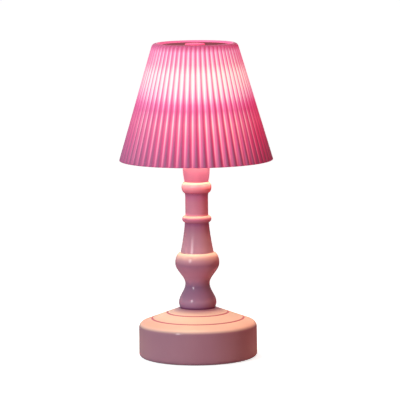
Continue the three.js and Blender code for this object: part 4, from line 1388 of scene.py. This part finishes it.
# Studio
studio = {
    "floorSize": 16,
    "underRadius": 0.037,  # inside the base's edge
    "floorColour": (0.8, 0.8, 0.8, 1),
    "floorGlow": (0.78, 0.85, 0.84, 1),
    "airLeft": (0.30, 0.30, 0.34, 1),
    "airRight": (0.28, 0.035, 0.02, 1),
    "airSpan": (-0.6, 0.9),
    "lights": {  # place, aim, width and height, watts, colour
        "softLeft": ((-0.82, -1.00, 0.5), (0, 0, 0.1), (0.16, 0.4), 11.2, (0.99, 1.0, 0.99)),
        "warmRight": ((1.0, -0.52, 0.35), (0, 0, 0.08), (0.6, 0.6), 2.5, (1.0, 0.08, 0.04)),
    },
    "lampGlow": ((0, 0, 0.157), (0, 0, 0), (0.042, 0.042), 0.275, (1.0, 0.82, 0.58)),
}


def areaLight(name, place, aim, size, watts, tint, shape="RECTANGLE"):
    light = bpy.data.lights.new(name, "AREA")
    light.shape = shape
    light.size, light.size_y = size
    light.energy = watts
    light.color = tint
    lamp = newObject(name, light)
    lamp.location = place
    lamp.rotation_euler = (Vector(aim) - Vector(place)).to_track_quat("-Z", "Y").to_euler()
    return lamp


def addFloor():
    deselectAll()
    bpy.ops.mesh.primitive_plane_add(size=studio["floorSize"], location=(0, 0, 0))
    floor = bpy.context.object
    floor.name = "floor"
    material, tree, shader = newMaterial("paleFloor")
    tree.nodes.remove(shader)
    output = tree.nodes["Material Output"]
    plain = tree.add("ShaderNodeBsdfDiffuse", Color=studio["floorColour"])
    path = tree.add("ShaderNodeLightPath").outputs
    glow = tree.add("ShaderNodeEmission", Color=studio["floorGlow"], Strength=path["Is Camera Ray"])
    both = tree.nodes.new("ShaderNodeAddShader")
    tree.feed(both.inputs[0], plain.outputs[0])
    tree.feed(both.inputs[1], glow.outputs[0])
    clear = tree.add("ShaderNodeBsdfTransparent", Color=(1, 1, 1, 1))
    light = tree.math("MAXIMUM", path["Is Diffuse Ray"], path["Is Shadow Ray"])
    near = tree.math("LESS_THAN", tree.spread(tree.split(tree.place())), studio["underRadius"])
    under = tree.math("MULTIPLY", light, near)
    behind = tree.nodes.new("ShaderNodeNewGeometry").outputs["Backfacing"]
    sided = tree.nodes.new("ShaderNodeMixShader")  # the underside is lit and seen through the floor
    tree.feed(sided.inputs[0], tree.math("MAXIMUM", behind, under))
    tree.feed(sided.inputs[1], both.outputs[0])
    tree.feed(sided.inputs[2], clear.outputs[0])
    tree.feed(output.inputs["Surface"], sided.outputs[0])
    floor.data.materials.append(material)


def addAir():
    world = bpy.data.worlds.new("studioAir")
    bpy.context.scene.world = world
    world.use_nodes = True
    tree = Tree(world.node_tree)
    path = tree.add("ShaderNodeLightPath").outputs
    seen = tree.math("MAXIMUM", path["Is Camera Ray"], path["Is Glossy Ray"])
    seen = tree.math("MAXIMUM", seen, path["Is Transmission Ray"])
    across = tree.split(tree.nodes.new("ShaderNodeTexCoord").outputs["Generated"])["X"]
    air = tree.blend(tree.smooth(across, *studio["airSpan"]), studio["airLeft"], studio["airRight"])
    background = world.node_tree.nodes["Background"]
    tree.feed(background.inputs["Color"], tree.blend(seen, air, (1, 1, 1, 1)))
    background.inputs["Strength"].default_value = 1.0


addFloor()
addAir()
for name, setup in studio["lights"].items():
    areaLight(name, *setup)
lampGlow = areaLight("lampGlow", *studio["lampGlow"], shape="ELLIPSE")
lampGlow.visible_camera = False
print("studio lit")
